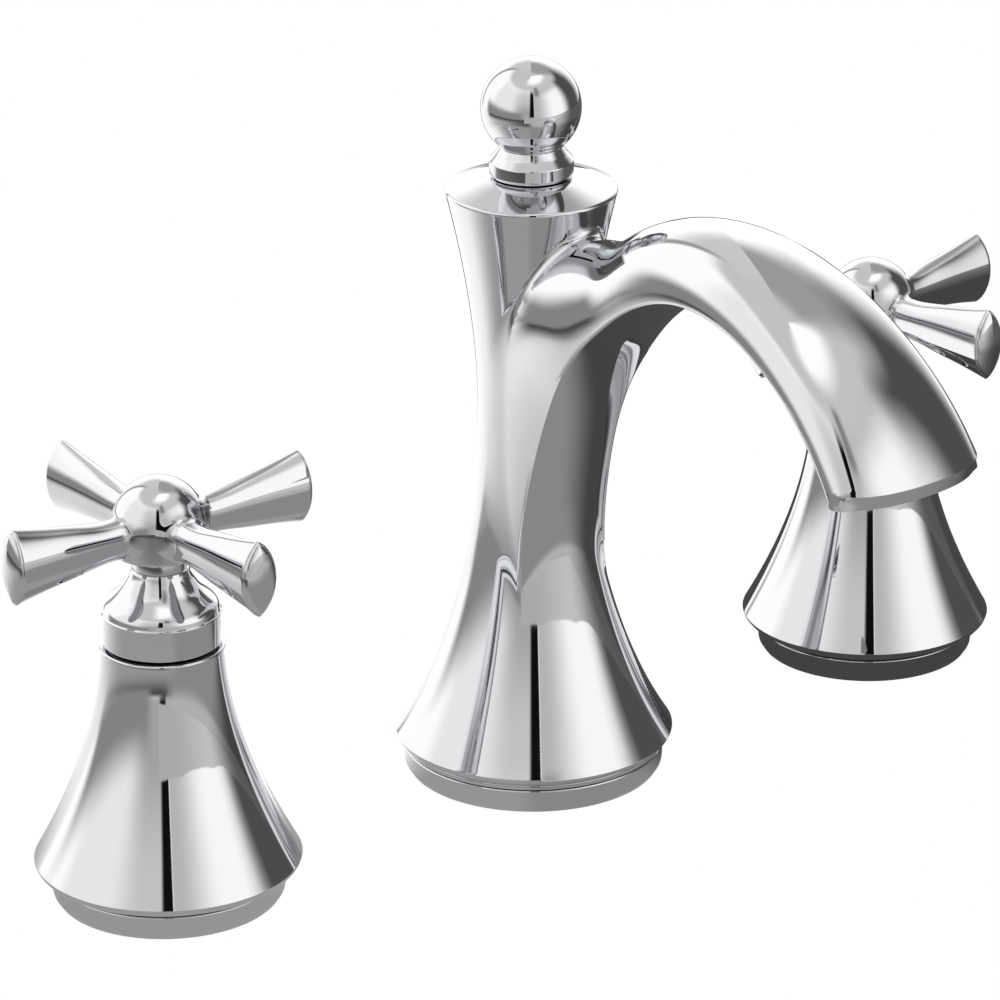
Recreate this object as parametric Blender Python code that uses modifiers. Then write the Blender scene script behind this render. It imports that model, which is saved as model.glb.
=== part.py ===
# Widespread bathroom faucet: an arched spout on a turned column, two cross handles on bells,
# a lift rod through the column, and the valves, shanks, washers and nuts that hold it on its deck.
# Metres, +Z up. The origin is on the deck's top, on the axis of the spout's column.
import math

import bmesh
import bpy
from mathutils import Matrix, Vector

# Layout
HANDLE_SPACING = 0.2032
DECK_THICKNESS = 0.020
SEAT_GAP = 0.0003
RUNNING_GAP = 0.0004
OVERRUN = 0.002
MERGE_DISTANCE = 0.00001
SHARP_ANGLE = math.radians(32)
FINE_STEPS = 28
ROUND_STEPS = 20
SMALL_STEPS = 14
BORE_STEPS = 10
TUBE_RESOLUTION = 3
NUT_SIDES = 6

# Turned column of the spout
COLUMN_HEIGHT = 0.1345
COLUMN_TOP_RADIUS = 0.0186
COLUMN_WAIST_HEIGHT = 0.086
COLUMN_WAIST_RADIUS = 0.0119
COLUMN_RIM_HEIGHT = 0.009
COLUMN_RIM_RADIUS = 0.031
COLUMN_FLARE_POWER = 2.2
COLUMN_LIP_POWER = 8
COLUMN_LIP_SHARE = 0.073
COLUMN_CUBE_SHARE = 0.25
COLUMN_EDGE = 0.0006
COLUMN_WALL = 0.0020
COLUMN_CEILING_DROP = 0.0212
CROWN_RISE = 0.0033
FLARE_SHARES = (0.06, 0.13, 0.22, 0.33, 0.46, 0.60, 0.76, 1.0)
SWELL_SHARES = (0.25, 0.5, 0.72, 0.88, 1.0)

# Lip under the flare of the column and of each bell
LIP_HEIGHT = 0.0016
LIP_TUCK = 0.0010
LIP_COVE_SHARE = 0.55
LIP_NOSE_SHARE = 0.33

# Arched arm: sections stand square to circles about a centre under the arch
ARCH_CENTRE_REACH = 0.062
ARCH_CENTRE_HEIGHT = 0.070
ARCH_SIZE = 0.060
ARCH_STATIONS = (-30, 0, 30, 45, 52.5, 60, 70, 90, 120, 150, 165)
ARCH_INNER_SHARES = (0.977, 0.832, 0.807, 0.828, 0.844, 0.862, 0.899, 0.980, 1.022, 1.033, 1.035)
ARCH_OUTER_SHARES = (1.170, 1.189, 1.271, 1.262, 1.212, 1.150, 1.168, 1.209, 1.192, 1.183, 1.185)
ARCH_HALF_WIDTH_SHARES = (0.209, 0.196, 0.195, 0.211, 0.213, 0.216, 0.225, 0.250, 0.293, 0.333, 0.350)
ARCH_BULGE_SHARES = (0.070, 0.042, 0.033, 0.035, 0.037, 0.040, 0.043, 0.050, 0.083, 0.158, 0.170)
ARCH_FLANK_SHARES = (0.27, 0.16, 0.21, 0.20, 0.06, 0.02, 0.0, 0.0, 0.0, 0.0, 0.0)
ARCH_CROWN_POWERS = (3.5, 2.85, 3.3, 2.4, 2.2, 2.1, 2.2, 2.3, 2.3, 2.3, 2.3)
ARCH_SECTIONS = 23
ARCH_CROWN_POINTS = 11
ARCH_UNDER_POINTS = 5
OUTLET_HEIGHT = 0.1022

# Outlet and aerator
OUTLET_SETBACK = 0.0017
OUTLET_HALVINGS = 24
OUTLET_TILT = math.radians(6)
OUTLET_CUT_SHARE = 0.55
AERATOR_RADIUS = 0.0067
AERATOR_WALL = 0.0010
AERATOR_DEPTH = 0.0042
AERATOR_RECESS = 0.0008
AERATOR_GASKET = 0.0010
WATERWAY_RADIUS = 0.0031
WATERWAY_START_DEGREES = 50
WATERWAY_SHARES = (0.2, 0.4, 0.6, 0.8)
WATERWAY_PIECES = 3

# Lift knob, rod and guide bush
KNOB_BALL_RADIUS = 0.01084
KNOB_BALL_HEIGHT = 0.01503
KNOB_BALL_STEPS = 8
KNOB_NECK_RADIUS = 0.0069
KNOB_SKIRT_RADIUS = 0.0092
KNOB_SKIRT_LIP = 0.0030
KNOB_FLARE_SHARES = (0.33, 0.66, 1.0)
KNOB_FLARE_POWER = 1.15
KNOB_SOCKET_DEPTH = 0.0115
ROD_RADIUS = 0.0020
ROD_PASSAGE_GAP = 0.0006
ROD_BELOW_DECK = 0.080
GUIDE_WALL = 0.0020
GUIDE_LENGTH = 0.0115

# Shank, tube and tee of the spout
SHANK_RADIUS = 0.0132
SHANK_BELOW_DECK = 0.042
SHANK_WALL = 0.0027
SHANK_FLANGE_HEIGHT = 0.0056
BODY_SOCKET_RADIUS = 0.0249
TUBE_RADIUS = 0.0028
TUBE_BORE_RADIUS = 0.0021
TUBE_OFFSET = 0.0066
TUBE_INSERTION = 0.003
TUBE_JOG = 0.0072
TUBE_JOG_HEIGHT = 0.014
TUBE_JOG_STEPS = 6
TUBE_SEAL_HEIGHT = 0.0012
TEE_RADIUS = 0.0068
TEE_HEIGHT = 0.017
TEE_ARM_RADIUS = 0.0054
TEE_ARM_REACH = 0.018
TEE_WALL = 0.0018
TEE_SOCKET_DEPTH = 0.005
GRUB_RADIUS = 0.0016
GRUB_RECESS = 0.0008

# Base rings and gaskets on the deck
RING_HEIGHT = 0.0055
RING_EDGE = 0.0011
RING_EDGE_SHARE = 0.25
SPOUT_RING_RADIUS = 0.0289
HANDLE_RING_RADIUS = 0.0249
GASKET_HEIGHT = 0.0016
GASKET_MARGIN = 0.0026

# Washers and nut below the deck
WASHER_RADIUS = 0.0215
RUBBER_WASHER_HEIGHT = 0.0025
STEEL_WASHER_HEIGHT = 0.0014
NUT_RADIUS = 0.0185
NUT_HEIGHT = 0.009

# Bell-shaped escutcheon of a handle
BELL_HEIGHT = 0.0575
BELL_TOP_RADIUS = 0.0133
BELL_RIM_HEIGHT = 0.0087
BELL_RIM_RADIUS = 0.0285
BELL_FLARE_POWER = 1.8
BELL_EDGE = 0.0005
BELL_WALL = 0.0016
BELL_SHARES = (0.07, 0.16, 0.27, 0.40, 0.56, 0.76, 1.0)

# Band and skirt that turn with a handle
BAND_GAP = 0.0010
BAND_RADIUS = 0.01264
BAND_HEIGHT = 0.0066
BAND_STEP = 0.0003
SKIRT_HEIGHT = 0.0094
SKIRT_TOP_RADIUS = 0.0062
SKIRT_WALL = 0.0018
SKIRT_SHARES = ((0.0, 1.0), (0.18, 0.92), (0.36, 0.64), (0.52, 0.385), (0.68, 0.21), (0.84, 0.07), (1.0, 0.0))
NECK_RADIUS = 0.0057
NECK_HEIGHT = 0.0024
SET_SCREW_RADIUS = 0.0020
GLIDE_HEIGHT = 0.0004
GLIDE_BORE_RADIUS = 0.0088
GLIDE_COLLAR_LENGTH = 0.0045
GLIDE_WALL = 0.0008

# Cross handle
HUB_RADIUS = 0.0098
HUB_CENTRE_RISE = 0.0076
HUB_FOOT_RADIUS = 0.0057
HUB_FOOT_HEIGHT = 0.0012
HUB_EDGE = 0.0005
HUB_STEPS = 6
CROSS_RISE = 0.0063
CROSS_REACH = 0.0375
CROSS_ROOT_REACH = 0.0075
CROSS_ROOT_HEIGHT = 0.0088
CROSS_ROOT_WIDTH = 0.0068
CROSS_TIP_HEIGHT = 0.0166
CROSS_TIP_WIDTH = 0.0086
CROSS_TIP_DOME = 0.0017
CROSS_COLLAR = 0.0003
CROSS_COLLAR_LENGTH = 0.0022
CROSS_SIDES = 12
CROSS_POWER = 2.4
CROSS_TIP_SIDE_POWER = 1.3
CROSS_TIP_EDGE_POWER = 2.1
CROSS_DOME_SHARES = (0.6, 0.9)
CROSS_FLARE_SHARES = ((0.10, 0.0), (0.40, 0.28), (0.72, 0.64), (1.0, 1.0))
HOT_REST_TURN = math.radians(-2.4)
COLD_REST_TURN = math.radians(3.4)
HANDLE_SCREW_RADIUS = 0.0020
HANDLE_SCREW_DEPTH = 0.0075
HANDLE_SCREW_HEAD_RADIUS = 0.0034
HANDLE_SCREW_HEAD_HEIGHT = 0.0022

# Valve, cartridge and stem of a handle
VALVE_SHOULDER_HEIGHT = 0.014
VALVE_BARREL_RADIUS = 0.0108
VALVE_BARREL_HEIGHT = 0.028
VALVE_BORE_RADIUS = 0.0089
VALVE_FLOOR_HEIGHT = 0.009
VALVE_BELOW_DECK = 0.052
VALVE_INLET_RADIUS = 0.0095
VALVE_INLET_LENGTH = 0.012
VALVE_CHANNEL_RADIUS = 0.0032
VALVE_OUTLET_RISE = 0.009
VALVE_OUTLET_RADIUS = 0.0062
VALVE_OUTLET_REACH = 0.024
CARTRIDGE_WALL = 0.0014
CARTRIDGE_FLANGE_HEIGHT = 0.0018
CARTRIDGE_COLLAR_RADIUS = 0.0078
CARTRIDGE_COLLAR_HEIGHT = 0.012
SEAL_HEIGHT = 0.0012
SEAL_WALL = 0.0022
DISC_HEIGHT = 0.0030
PORT_RADIUS = 0.0017
PORT_OFFSET = 0.0040
STEM_FOOT_HEIGHT = 0.0030
STEM_RADIUS = 0.0038
STEM_ABOVE_BAND = 0.0070
BONNET_WALL = 0.0027
BONNET_HEIGHT = 0.0105
BONNET_TOP_HEIGHT = 0.0026
ADAPTER_RADIUS = 0.0098
ADAPTER_TOP_RADIUS = 0.0060
ADAPTER_ROOF = 0.0014

# Places worked out from the sizes above
COVER_SEAT = RING_HEIGHT + SEAT_GAP
CROWN_HEIGHT = COLUMN_HEIGHT + CROWN_RISE
WASHER_TOP = -DECK_THICKNESS - SEAT_GAP
STEEL_TOP = WASHER_TOP - RUBBER_WASHER_HEIGHT - SEAT_GAP
NUT_TOP = STEEL_TOP - STEEL_WASHER_HEIGHT - SEAT_GAP
BAND_BOTTOM = BELL_HEIGHT + BAND_GAP
SKIRT_BOTTOM = BAND_BOTTOM + BAND_HEIGHT
NECK_BOTTOM = SKIRT_BOTTOM + SKIRT_HEIGHT
HUB_BOTTOM = NECK_BOTTOM + NECK_HEIGHT + SEAT_GAP
CROSS_HEIGHT = HUB_BOTTOM + CROSS_RISE
SCREW_SEAT = NECK_BOTTOM - SKIRT_WALL
SHANK_BORE_RADIUS = SHANK_RADIUS + SEAT_GAP

CHROME = ("chrome plate", (0.80, 0.81, 0.83), 0.05, 1.0)
BRASS = ("brass", (0.72, 0.54, 0.25), 0.28, 1.0)
STEEL = ("stainless steel", (0.62, 0.62, 0.63), 0.30, 1.0)
RUBBER = ("black rubber", (0.03, 0.03, 0.03), 0.85, 0.0)
NYLON = ("white nylon", (0.86, 0.86, 0.84), 0.45, 0.0)
DARK_PLASTIC = ("dark grey plastic", (0.12, 0.12, 0.13), 0.5, 0.0)
CERAMIC = ("ceramic", (0.90, 0.88, 0.84), 0.2, 0.0)

PARTS = "widespread_faucet"
CUTTERS = "cutters"


def clear_scene():
    for old in list(bpy.data.objects):
        bpy.data.objects.remove(old, do_unlink=True)


def named_collection(name):
    found = bpy.data.collections.get(name)
    if found is None:
        found = bpy.data.collections.new(name)
        bpy.context.scene.collection.children.link(found)
    return found


def finish_material(finish):
    name, colour, roughness, metallic = finish
    material = bpy.data.materials.get(name)
    if material is None:
        material = bpy.data.materials.new(name)
        material.use_nodes = True
        shader = material.node_tree.nodes["Principled BSDF"]
        shader.inputs["Base Color"].default_value = (*colour, 1)
        shader.inputs["Roughness"].default_value = roughness
        shader.inputs["Metallic"].default_value = metallic
        material.diffuse_color = (*colour, 1)
    return material


def object_from(name, bm, finish=None):
    """Put a bmesh in a new object: a part when it has a finish, a cutter when it has none."""
    mesh = bpy.data.meshes.new(name)
    bm.to_mesh(mesh)
    bm.free()
    item = bpy.data.objects.new(name, mesh)
    if finish is None:
        named_collection(CUTTERS).objects.link(item)
        item.hide_render = True
        item.display_type = "WIRE"
    else:
        named_collection(PARTS).objects.link(item)
        mesh.materials.append(finish_material(finish))
    return item


def settle(item):
    """Keep what the modifiers give as the object's own mesh, smooth but for its real corners."""
    bpy.context.view_layer.update()
    graph = bpy.context.evaluated_depsgraph_get()
    mesh = bpy.data.meshes.new_from_object(item.evaluated_get(graph))
    item.modifiers.clear()
    item.data = mesh
    mesh.shade_smooth()
    mesh.set_sharp_from_angle(angle=SHARP_ANGLE)
    return item


def turned(name, profile, steps, finish=None):
    """Turn a profile of (radius, height) about Z: down its outer side, then up its inner side."""
    bm = bmesh.new()
    corners = [bm.verts.new((radius, 0, height)) for radius, height in profile]
    for first, second in zip(corners, corners[1:]):
        bm.edges.new((first, second))
    if profile[0][0] > 0 and profile[-1][0] > 0:
        bm.edges.new((corners[-1], corners[0]))
    item = object_from(name, bm, finish)
    turn = item.modifiers.new("turn", "SCREW")
    turn.axis = "Z"
    turn.steps = steps
    turn.render_steps = steps
    turn.use_merge_vertices = True
    turn.merge_threshold = MERGE_DISTANCE
    return settle(item)


def ring(name, inner, outer, bottom, top, steps, finish=None):
    return turned(name, [(outer, top), (outer, bottom), (inner, bottom), (inner, top)], steps, finish)


def rod(name, radius, bottom, top, steps, finish=None):
    """A plain round bar from a primitive cylinder standing on Z, its corners in line with turned pieces'."""
    bm = bmesh.new()
    middle = Matrix.Translation((0, 0, (bottom + top) / 2)) @ Matrix.Rotation(math.pi / 2, 4, "Z")
    bmesh.ops.create_cone(bm, cap_ends=True, segments=steps, radius1=radius, radius2=radius,
                          depth=top - bottom, matrix=middle)
    item = object_from(name, bm, finish)
    item.data.shade_smooth()
    item.data.set_sharp_from_angle(angle=SHARP_ANGLE)
    return item


def bake_place(item):
    """Move an object's location and rotation into its mesh."""
    item.data.transform(item.matrix_basis)
    item.matrix_basis = Matrix.Identity(4)
    return item


def lay_along(item, direction, start):
    """Turn a bar made on Z to run along a direction from a start point."""
    item.matrix_basis = Matrix.Translation(start) @ direction.to_track_quat("Z", "Y").to_matrix().to_4x4()
    return bake_place(item)


def combine(item, other, operation):
    change = item.modifiers.new(operation.lower(), "BOOLEAN")
    change.operation = operation
    change.solver = "EXACT"
    change.object = other
    return settle(item)


def cut(item, cutter):
    return combine(item, cutter, "DIFFERENCE")


def join(item, other):
    return combine(item, other, "UNION")


def bent_bar(name, points, radius, finish=None):
    """A round bar along a smooth line through points, made as a curve and kept as a mesh."""
    curve = bpy.data.curves.new(name + "_line", "CURVE")
    curve.dimensions = "3D"
    curve.bevel_depth = radius
    curve.bevel_resolution = TUBE_RESOLUTION
    curve.use_fill_caps = True
    spline = curve.splines.new("POLY")
    spline.points.add(len(points) - 1)
    for place, point in zip(spline.points, points):
        place.co = (*point, 1)
    line = bpy.data.objects.new(name + "_line", curve)
    named_collection(CUTTERS).objects.link(line)
    bpy.context.view_layer.update()
    graph = bpy.context.evaluated_depsgraph_get()
    mesh = bpy.data.meshes.new_from_object(line.evaluated_get(graph))
    bm = bmesh.new()
    bm.from_mesh(mesh)
    bmesh.ops.remove_doubles(bm, verts=bm.verts, dist=MERGE_DISTANCE)
    item = object_from(name, bm, finish)
    item.matrix_world = line.matrix_world
    bpy.data.objects.remove(line, do_unlink=True)
    item.data.shade_smooth()
    item.data.set_sharp_from_angle(angle=SHARP_ANGLE)
    return item


def smooth_value(stations, values, place):
    """A smooth curve through values at uneven stations (cubic pieces with matched slopes)."""
    last = len(stations) - 1
    index = max(i for i in range(last) if place >= stations[i] or i == 0)

    def slope(i):
        low = max(i - 1, 0)
        high = min(i + 1, last)
        return (values[high] - values[low]) / (stations[high] - stations[low])

    span = stations[index + 1] - stations[index]
    t = (place - stations[index]) / span
    start = (2 * t ** 3 - 3 * t ** 2 + 1) * values[index] + (t ** 3 - 2 * t ** 2 + t) * span * slope(index)
    end = (3 * t ** 2 - 2 * t ** 3) * values[index + 1] + (t ** 3 - t ** 2) * span * slope(index + 1)
    return start + end


def smooth_path(corners, pieces):
    """Points of a smooth line through corners, a few for each stretch."""
    stations = list(range(len(corners)))
    count = (len(corners) - 1) * pieces
    path = []
    for step in range(count + 1):
        place = step / pieces
        path.append(Vector([smooth_value(stations, [c[axis] for c in corners], place) for axis in range(3)]))
    return path


def column_radius(height):
    """Outer radius of the column: a flare below the waist and a slight swell above it."""
    if height <= COLUMN_WAIST_HEIGHT:
        share = (COLUMN_WAIST_HEIGHT - height) / (COLUMN_WAIST_HEIGHT - COLUMN_RIM_HEIGHT)
        flare = (1 - COLUMN_LIP_SHARE) * share ** COLUMN_FLARE_POWER + COLUMN_LIP_SHARE * share ** COLUMN_LIP_POWER
        return COLUMN_WAIST_RADIUS + (COLUMN_RIM_RADIUS - COLUMN_WAIST_RADIUS) * flare
    share = (height - COLUMN_WAIST_HEIGHT) / (COLUMN_HEIGHT - COLUMN_WAIST_HEIGHT)
    swell = (1 + COLUMN_CUBE_SHARE) * share ** 2 - COLUMN_CUBE_SHARE * share ** 3
    return COLUMN_WAIST_RADIUS + (COLUMN_TOP_RADIUS - COLUMN_WAIST_RADIUS) * swell


def bell_radius(height):
    share = (BELL_HEIGHT - height) / (BELL_HEIGHT - BELL_RIM_HEIGHT)
    return BELL_TOP_RADIUS + (BELL_RIM_RADIUS - BELL_TOP_RADIUS) * share ** BELL_FLARE_POWER


def lip_profile(rim_radius, rim_height, ring_radius):
    """The rounded nose under a flare and the cove in to the base ring, top to bottom."""
    cove_radius = rim_radius - (rim_radius - ring_radius) * LIP_COVE_SHARE
    nose_bottom = rim_height - LIP_HEIGHT
    return [
        (rim_radius, rim_height),
        (rim_radius - LIP_TUCK * LIP_NOSE_SHARE, rim_height - LIP_HEIGHT / 2),
        (rim_radius - LIP_TUCK, nose_bottom),
        (cove_radius, (nose_bottom + COVER_SEAT) / 2),
        (ring_radius, COVER_SEAT),
    ]


def column_solid():
    """The column as a full round body, with the nose and cove at its foot."""
    profile = [(0, CROWN_HEIGHT), (KNOB_SKIRT_RADIUS, CROWN_HEIGHT)]
    profile.append((COLUMN_TOP_RADIUS - COLUMN_EDGE, COLUMN_HEIGHT + COLUMN_EDGE / 2))
    upper = COLUMN_HEIGHT - COLUMN_WAIST_HEIGHT
    lower = COLUMN_WAIST_HEIGHT - COLUMN_RIM_HEIGHT
    heights = [COLUMN_WAIST_HEIGHT + upper * share for share in reversed(SWELL_SHARES)]
    heights[0] = COLUMN_HEIGHT - COLUMN_EDGE / 2
    heights += [COLUMN_RIM_HEIGHT + lower * share for share in reversed(FLARE_SHARES)]
    profile += [(column_radius(height), height) for height in heights]
    profile += lip_profile(COLUMN_RIM_RADIUS, COLUMN_RIM_HEIGHT, SPOUT_RING_RADIUS)
    profile.append((0, COVER_SEAT))
    return turned("spout_body", profile, FINE_STEPS, CHROME)


def arch_sizes(degrees):
    """Radii of the creases and of the crown, half the width, and the underside's bulge."""
    tables = (ARCH_INNER_SHARES, ARCH_OUTER_SHARES, ARCH_HALF_WIDTH_SHARES, ARCH_BULGE_SHARES)
    return [ARCH_SIZE * smooth_value(ARCH_STATIONS, shares, degrees) for shares in tables]


def arch_point(degrees, x, out):
    radians = math.radians(degrees)
    return Vector((x, -ARCH_CENTRE_REACH + out * math.cos(radians), ARCH_CENTRE_HEIGHT + out * math.sin(radians)))


def arch_section(degrees):
    """One section of the arm: a crown over two side creases, and a bulged underside."""
    inner, outer, half_width, bulge = arch_sizes(degrees)
    power = 2 / smooth_value(ARCH_STATIONS, ARCH_CROWN_POWERS, degrees)
    flank = smooth_value(ARCH_STATIONS, ARCH_FLANK_SHARES, degrees)
    points = []
    for step in range(ARCH_CROWN_POINTS):
        angle = math.pi * step / (ARCH_CROWN_POINTS - 1)
        rise = abs(math.sin(angle)) ** power
        swell = 1 + flank * rise * math.sqrt(1 - rise ** 2)
        side = math.copysign(abs(math.cos(angle)) ** power, math.cos(angle)) * swell
        points.append((half_width * side, inner + (outer - inner) * rise))
    for step in range(1, ARCH_UNDER_POINTS + 1):
        share = 2 * step / (ARCH_UNDER_POINTS + 1) - 1
        points.append((half_width * share, inner - bulge * (1 - share ** 2)))
    return [arch_point(degrees, x, out) for x, out in points]


def arch_solid():
    """Loft the arm's sections from inside the column, over the arch and past the outlet."""
    bm = bmesh.new()
    first = ARCH_STATIONS[0]
    sweep = ARCH_STATIONS[-1] - first
    rings = []
    for number in range(ARCH_SECTIONS):
        section = arch_section(first + sweep * number / (ARCH_SECTIONS - 1))
        rings.append([bm.verts.new(point) for point in section])
    count = len(rings[0])
    for near, far in zip(rings, rings[1:]):
        for i in range(count):
            j = (i + 1) % count
            bm.faces.new((near[i], near[j], far[j], far[i]))
    bm.faces.new(reversed(rings[0]))
    bm.faces.new(rings[-1])
    bmesh.ops.recalc_face_normals(bm, faces=bm.faces)
    return object_from("arch_solid", bm)


def waterway_point(degrees):
    """Middle of the arm's section at one station of its bore."""
    inner, outer, _, bulge = arch_sizes(degrees)
    return arch_point(degrees, 0, (inner - bulge + outer) / 2)


def outlet_degrees():
    """Station where the middle of the arm comes down to the outlet's height."""
    near = WATERWAY_START_DEGREES
    far = ARCH_STATIONS[-1]
    for _ in range(OUTLET_HALVINGS):
        middle = (near + far) / 2
        if waterway_point(middle).z > OUTLET_HEIGHT:
            near = middle
        else:
            far = middle
    return near


def outlet_matrix():
    """Where the outlet's axis crosses the cut end, tipped forward."""
    reach = -waterway_point(outlet_degrees()).y - OUTLET_SETBACK
    return Matrix.Translation((0, -reach, OUTLET_HEIGHT)) @ Matrix.Rotation(-OUTLET_TILT, 4, "X")


def outlet_floor():
    return AERATOR_RECESS + AERATOR_DEPTH + AERATOR_GASKET + 2 * SEAT_GAP


def ceiling_height():
    """Top of the column's hollow, a clear way under the bend of the arm's bore."""
    return waterway_point(WATERWAY_START_DEGREES).z - COLUMN_CEILING_DROP


def column_cavity():
    """The hollow inside the column, from the open foot to the ceiling under the arm's root."""
    heights = [ceiling_height(), COLUMN_WAIST_HEIGHT]
    lower = COLUMN_WAIST_HEIGHT - COLUMN_RIM_HEIGHT
    heights += [COLUMN_RIM_HEIGHT + lower * share for share in reversed(FLARE_SHARES[2:-1])]
    profile = [(0, ceiling_height())]
    profile += [(column_radius(height) - COLUMN_WALL, height) for height in heights]
    socket_top = COVER_SEAT + SHANK_FLANGE_HEIGHT + SEAT_GAP
    kept = [point for point in profile if point[0] < BODY_SOCKET_RADIUS and point[1] > socket_top]
    kept += [(BODY_SOCKET_RADIUS, socket_top + COLUMN_WALL), (BODY_SOCKET_RADIUS, -OVERRUN), (0, -OVERRUN)]
    return turned("column_cavity", kept, FINE_STEPS)


def waterway():
    """The bent bore from the top of the tube's socket through the arm to the aerator's pocket."""
    start = WATERWAY_START_DEGREES
    sweep = outlet_degrees() - start
    corners = [Vector((0, -TUBE_OFFSET, tube_socket_top() - WATERWAY_RADIUS)), waterway_point(start)]
    corners += [waterway_point(start + sweep * share) for share in WATERWAY_SHARES]
    corners.append(outlet_matrix() @ Vector((0, 0, outlet_floor() - SEAT_GAP)))
    return bent_bar("waterway", smooth_path(corners, WATERWAY_PIECES), WATERWAY_RADIUS)


def spout_body():
    body = join(column_solid(), arch_solid())
    bm = bmesh.new()
    drop = OUTLET_HEIGHT - ARCH_CENTRE_HEIGHT
    span = 2 * ARCH_SIZE
    middle = Vector((0, -ARCH_CENTRE_REACH - ARCH_SIZE * OUTLET_CUT_SHARE - span / 2, OUTLET_HEIGHT - drop))
    block = Matrix.Translation(middle) @ Matrix.Diagonal((span, span, 2 * drop, 1))
    bmesh.ops.create_cube(bm, size=1, matrix=block)
    cut(body, object_from("outlet_cut", bm))
    cut(body, column_cavity())
    pocket = rod("aerator_pocket", AERATOR_RADIUS + SEAT_GAP, -OVERRUN, outlet_floor(), SMALL_STEPS)
    pocket.matrix_basis = outlet_matrix()
    cut(body, bake_place(pocket))
    cut(body, waterway())
    socket = rod("tube_socket", WATERWAY_RADIUS, ceiling_height() - OVERRUN, tube_socket_top(), BORE_STEPS)
    socket.location = (0, -TUBE_OFFSET, 0)
    cut(body, bake_place(socket))
    rod_hole = ROD_RADIUS + ROD_PASSAGE_GAP
    cut(body, rod("rod_passage", rod_hole, ceiling_height() - OVERRUN, CROWN_HEIGHT + OVERRUN, BORE_STEPS))
    guide_hole = ROD_RADIUS + RUNNING_GAP + GUIDE_WALL + SEAT_GAP
    guide_floor = CROWN_HEIGHT - GUIDE_LENGTH - 2 * SEAT_GAP
    cut(body, rod("guide_seat", guide_hole, guide_floor, CROWN_HEIGHT + OVERRUN, BORE_STEPS))
    grub = rod("grub_hole", GRUB_RADIUS + SEAT_GAP, 0, COLUMN_RIM_RADIUS + OVERRUN, BORE_STEPS)
    cut(body, lay_along(grub, Vector((0, 1, 0)), (0, 0, grub_height())))
    return body


def grub_height():
    return COVER_SEAT + SHANK_FLANGE_HEIGHT / 2 + SEAT_GAP


def base_ring(name, radius, bore, finish):
    """The ring that a cover stands on, with a groove for its gasket under it."""
    profile = [
        (radius, RING_HEIGHT),
        (radius - RING_EDGE * RING_EDGE_SHARE, RING_EDGE),
        (radius - RING_EDGE, 0),
        (radius - GASKET_MARGIN, 0),
        (radius - GASKET_MARGIN, GASKET_HEIGHT + SEAT_GAP),
        (bore + GASKET_MARGIN, GASKET_HEIGHT + SEAT_GAP),
        (bore + GASKET_MARGIN, 0),
        (bore, 0),
        (bore, RING_HEIGHT),
    ]
    return turned(name, profile, ROUND_STEPS, finish)


def base_gasket(name, radius, bore):
    inner = bore + GASKET_MARGIN + SEAT_GAP
    return ring(name, inner, radius - GASKET_MARGIN - SEAT_GAP, 0, GASKET_HEIGHT, ROUND_STEPS, RUBBER)


def under_deck_set(prefix):
    """Rubber washer, steel washer and mounting nut on one shank."""
    bore = SHANK_BORE_RADIUS
    rubber = ring(prefix + "_rubber_washer", bore, WASHER_RADIUS, WASHER_TOP - RUBBER_WASHER_HEIGHT, WASHER_TOP,
                  SMALL_STEPS, RUBBER)
    steel = ring(prefix + "_steel_washer", bore, WASHER_RADIUS, STEEL_TOP - STEEL_WASHER_HEIGHT, STEEL_TOP,
                 SMALL_STEPS, STEEL)
    nut = rod(prefix + "_mounting_nut", NUT_RADIUS, NUT_TOP - NUT_HEIGHT, NUT_TOP, NUT_SIDES, BRASS)
    cut(nut, rod(prefix + "_nut_bore", bore, NUT_TOP - NUT_HEIGHT - OVERRUN, NUT_TOP + OVERRUN, SMALL_STEPS))
    return [rubber, steel, nut]


def spout_shank():
    """The threaded tube with the flange that the body is fixed on."""
    flange = BODY_SOCKET_RADIUS - SEAT_GAP
    top = COVER_SEAT + SHANK_FLANGE_HEIGHT
    inner = SHANK_RADIUS - SHANK_WALL
    profile = [(flange, top), (flange, COVER_SEAT), (SHANK_RADIUS, COVER_SEAT), (SHANK_RADIUS, -SHANK_BELOW_DECK),
               (inner, -SHANK_BELOW_DECK), (inner, top)]
    return turned("spout_shank", profile, SMALL_STEPS, BRASS)


def grub_screw():
    start = BODY_SOCKET_RADIUS
    length = column_radius(grub_height()) - start - GRUB_RECESS
    screw = rod("spout_grub_screw", GRUB_RADIUS, 0, length, BORE_STEPS, STEEL)
    return lay_along(screw, Vector((0, 1, 0)), (0, start, grub_height()))


def tube_top():
    return ceiling_height() + TUBE_INSERTION


def tube_socket_top():
    return tube_top() + TUBE_SEAL_HEIGHT + 2 * WATERWAY_RADIUS


def tube_corners():
    """Top of the tube, foot of its straight run, foot of its jog and its lower end."""
    low = -SHANK_BELOW_DECK - TUBE_JOG_HEIGHT
    return [
        Vector((0, -TUBE_OFFSET, tube_top())),
        Vector((0, -TUBE_OFFSET, -SHANK_BELOW_DECK)),
        Vector((0, -TUBE_OFFSET - TUBE_JOG, low)),
        Vector((0, -TUBE_OFFSET - TUBE_JOG, low - TEE_SOCKET_DEPTH)),
    ]


def tube_line():
    """The tube's line: one straight run down, then a gentle jog forward and a short straight end."""
    top, straight, low, end = tube_corners()
    path = [top, straight]
    for step in range(1, TUBE_JOG_STEPS):
        share = step / TUBE_JOG_STEPS
        sway = (1 - math.cos(math.pi * share)) / 2
        path.append(Vector((0, straight.y + (low.y - straight.y) * sway, straight.z + (low.z - straight.z) * share)))
    return path + [low, end]


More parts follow.
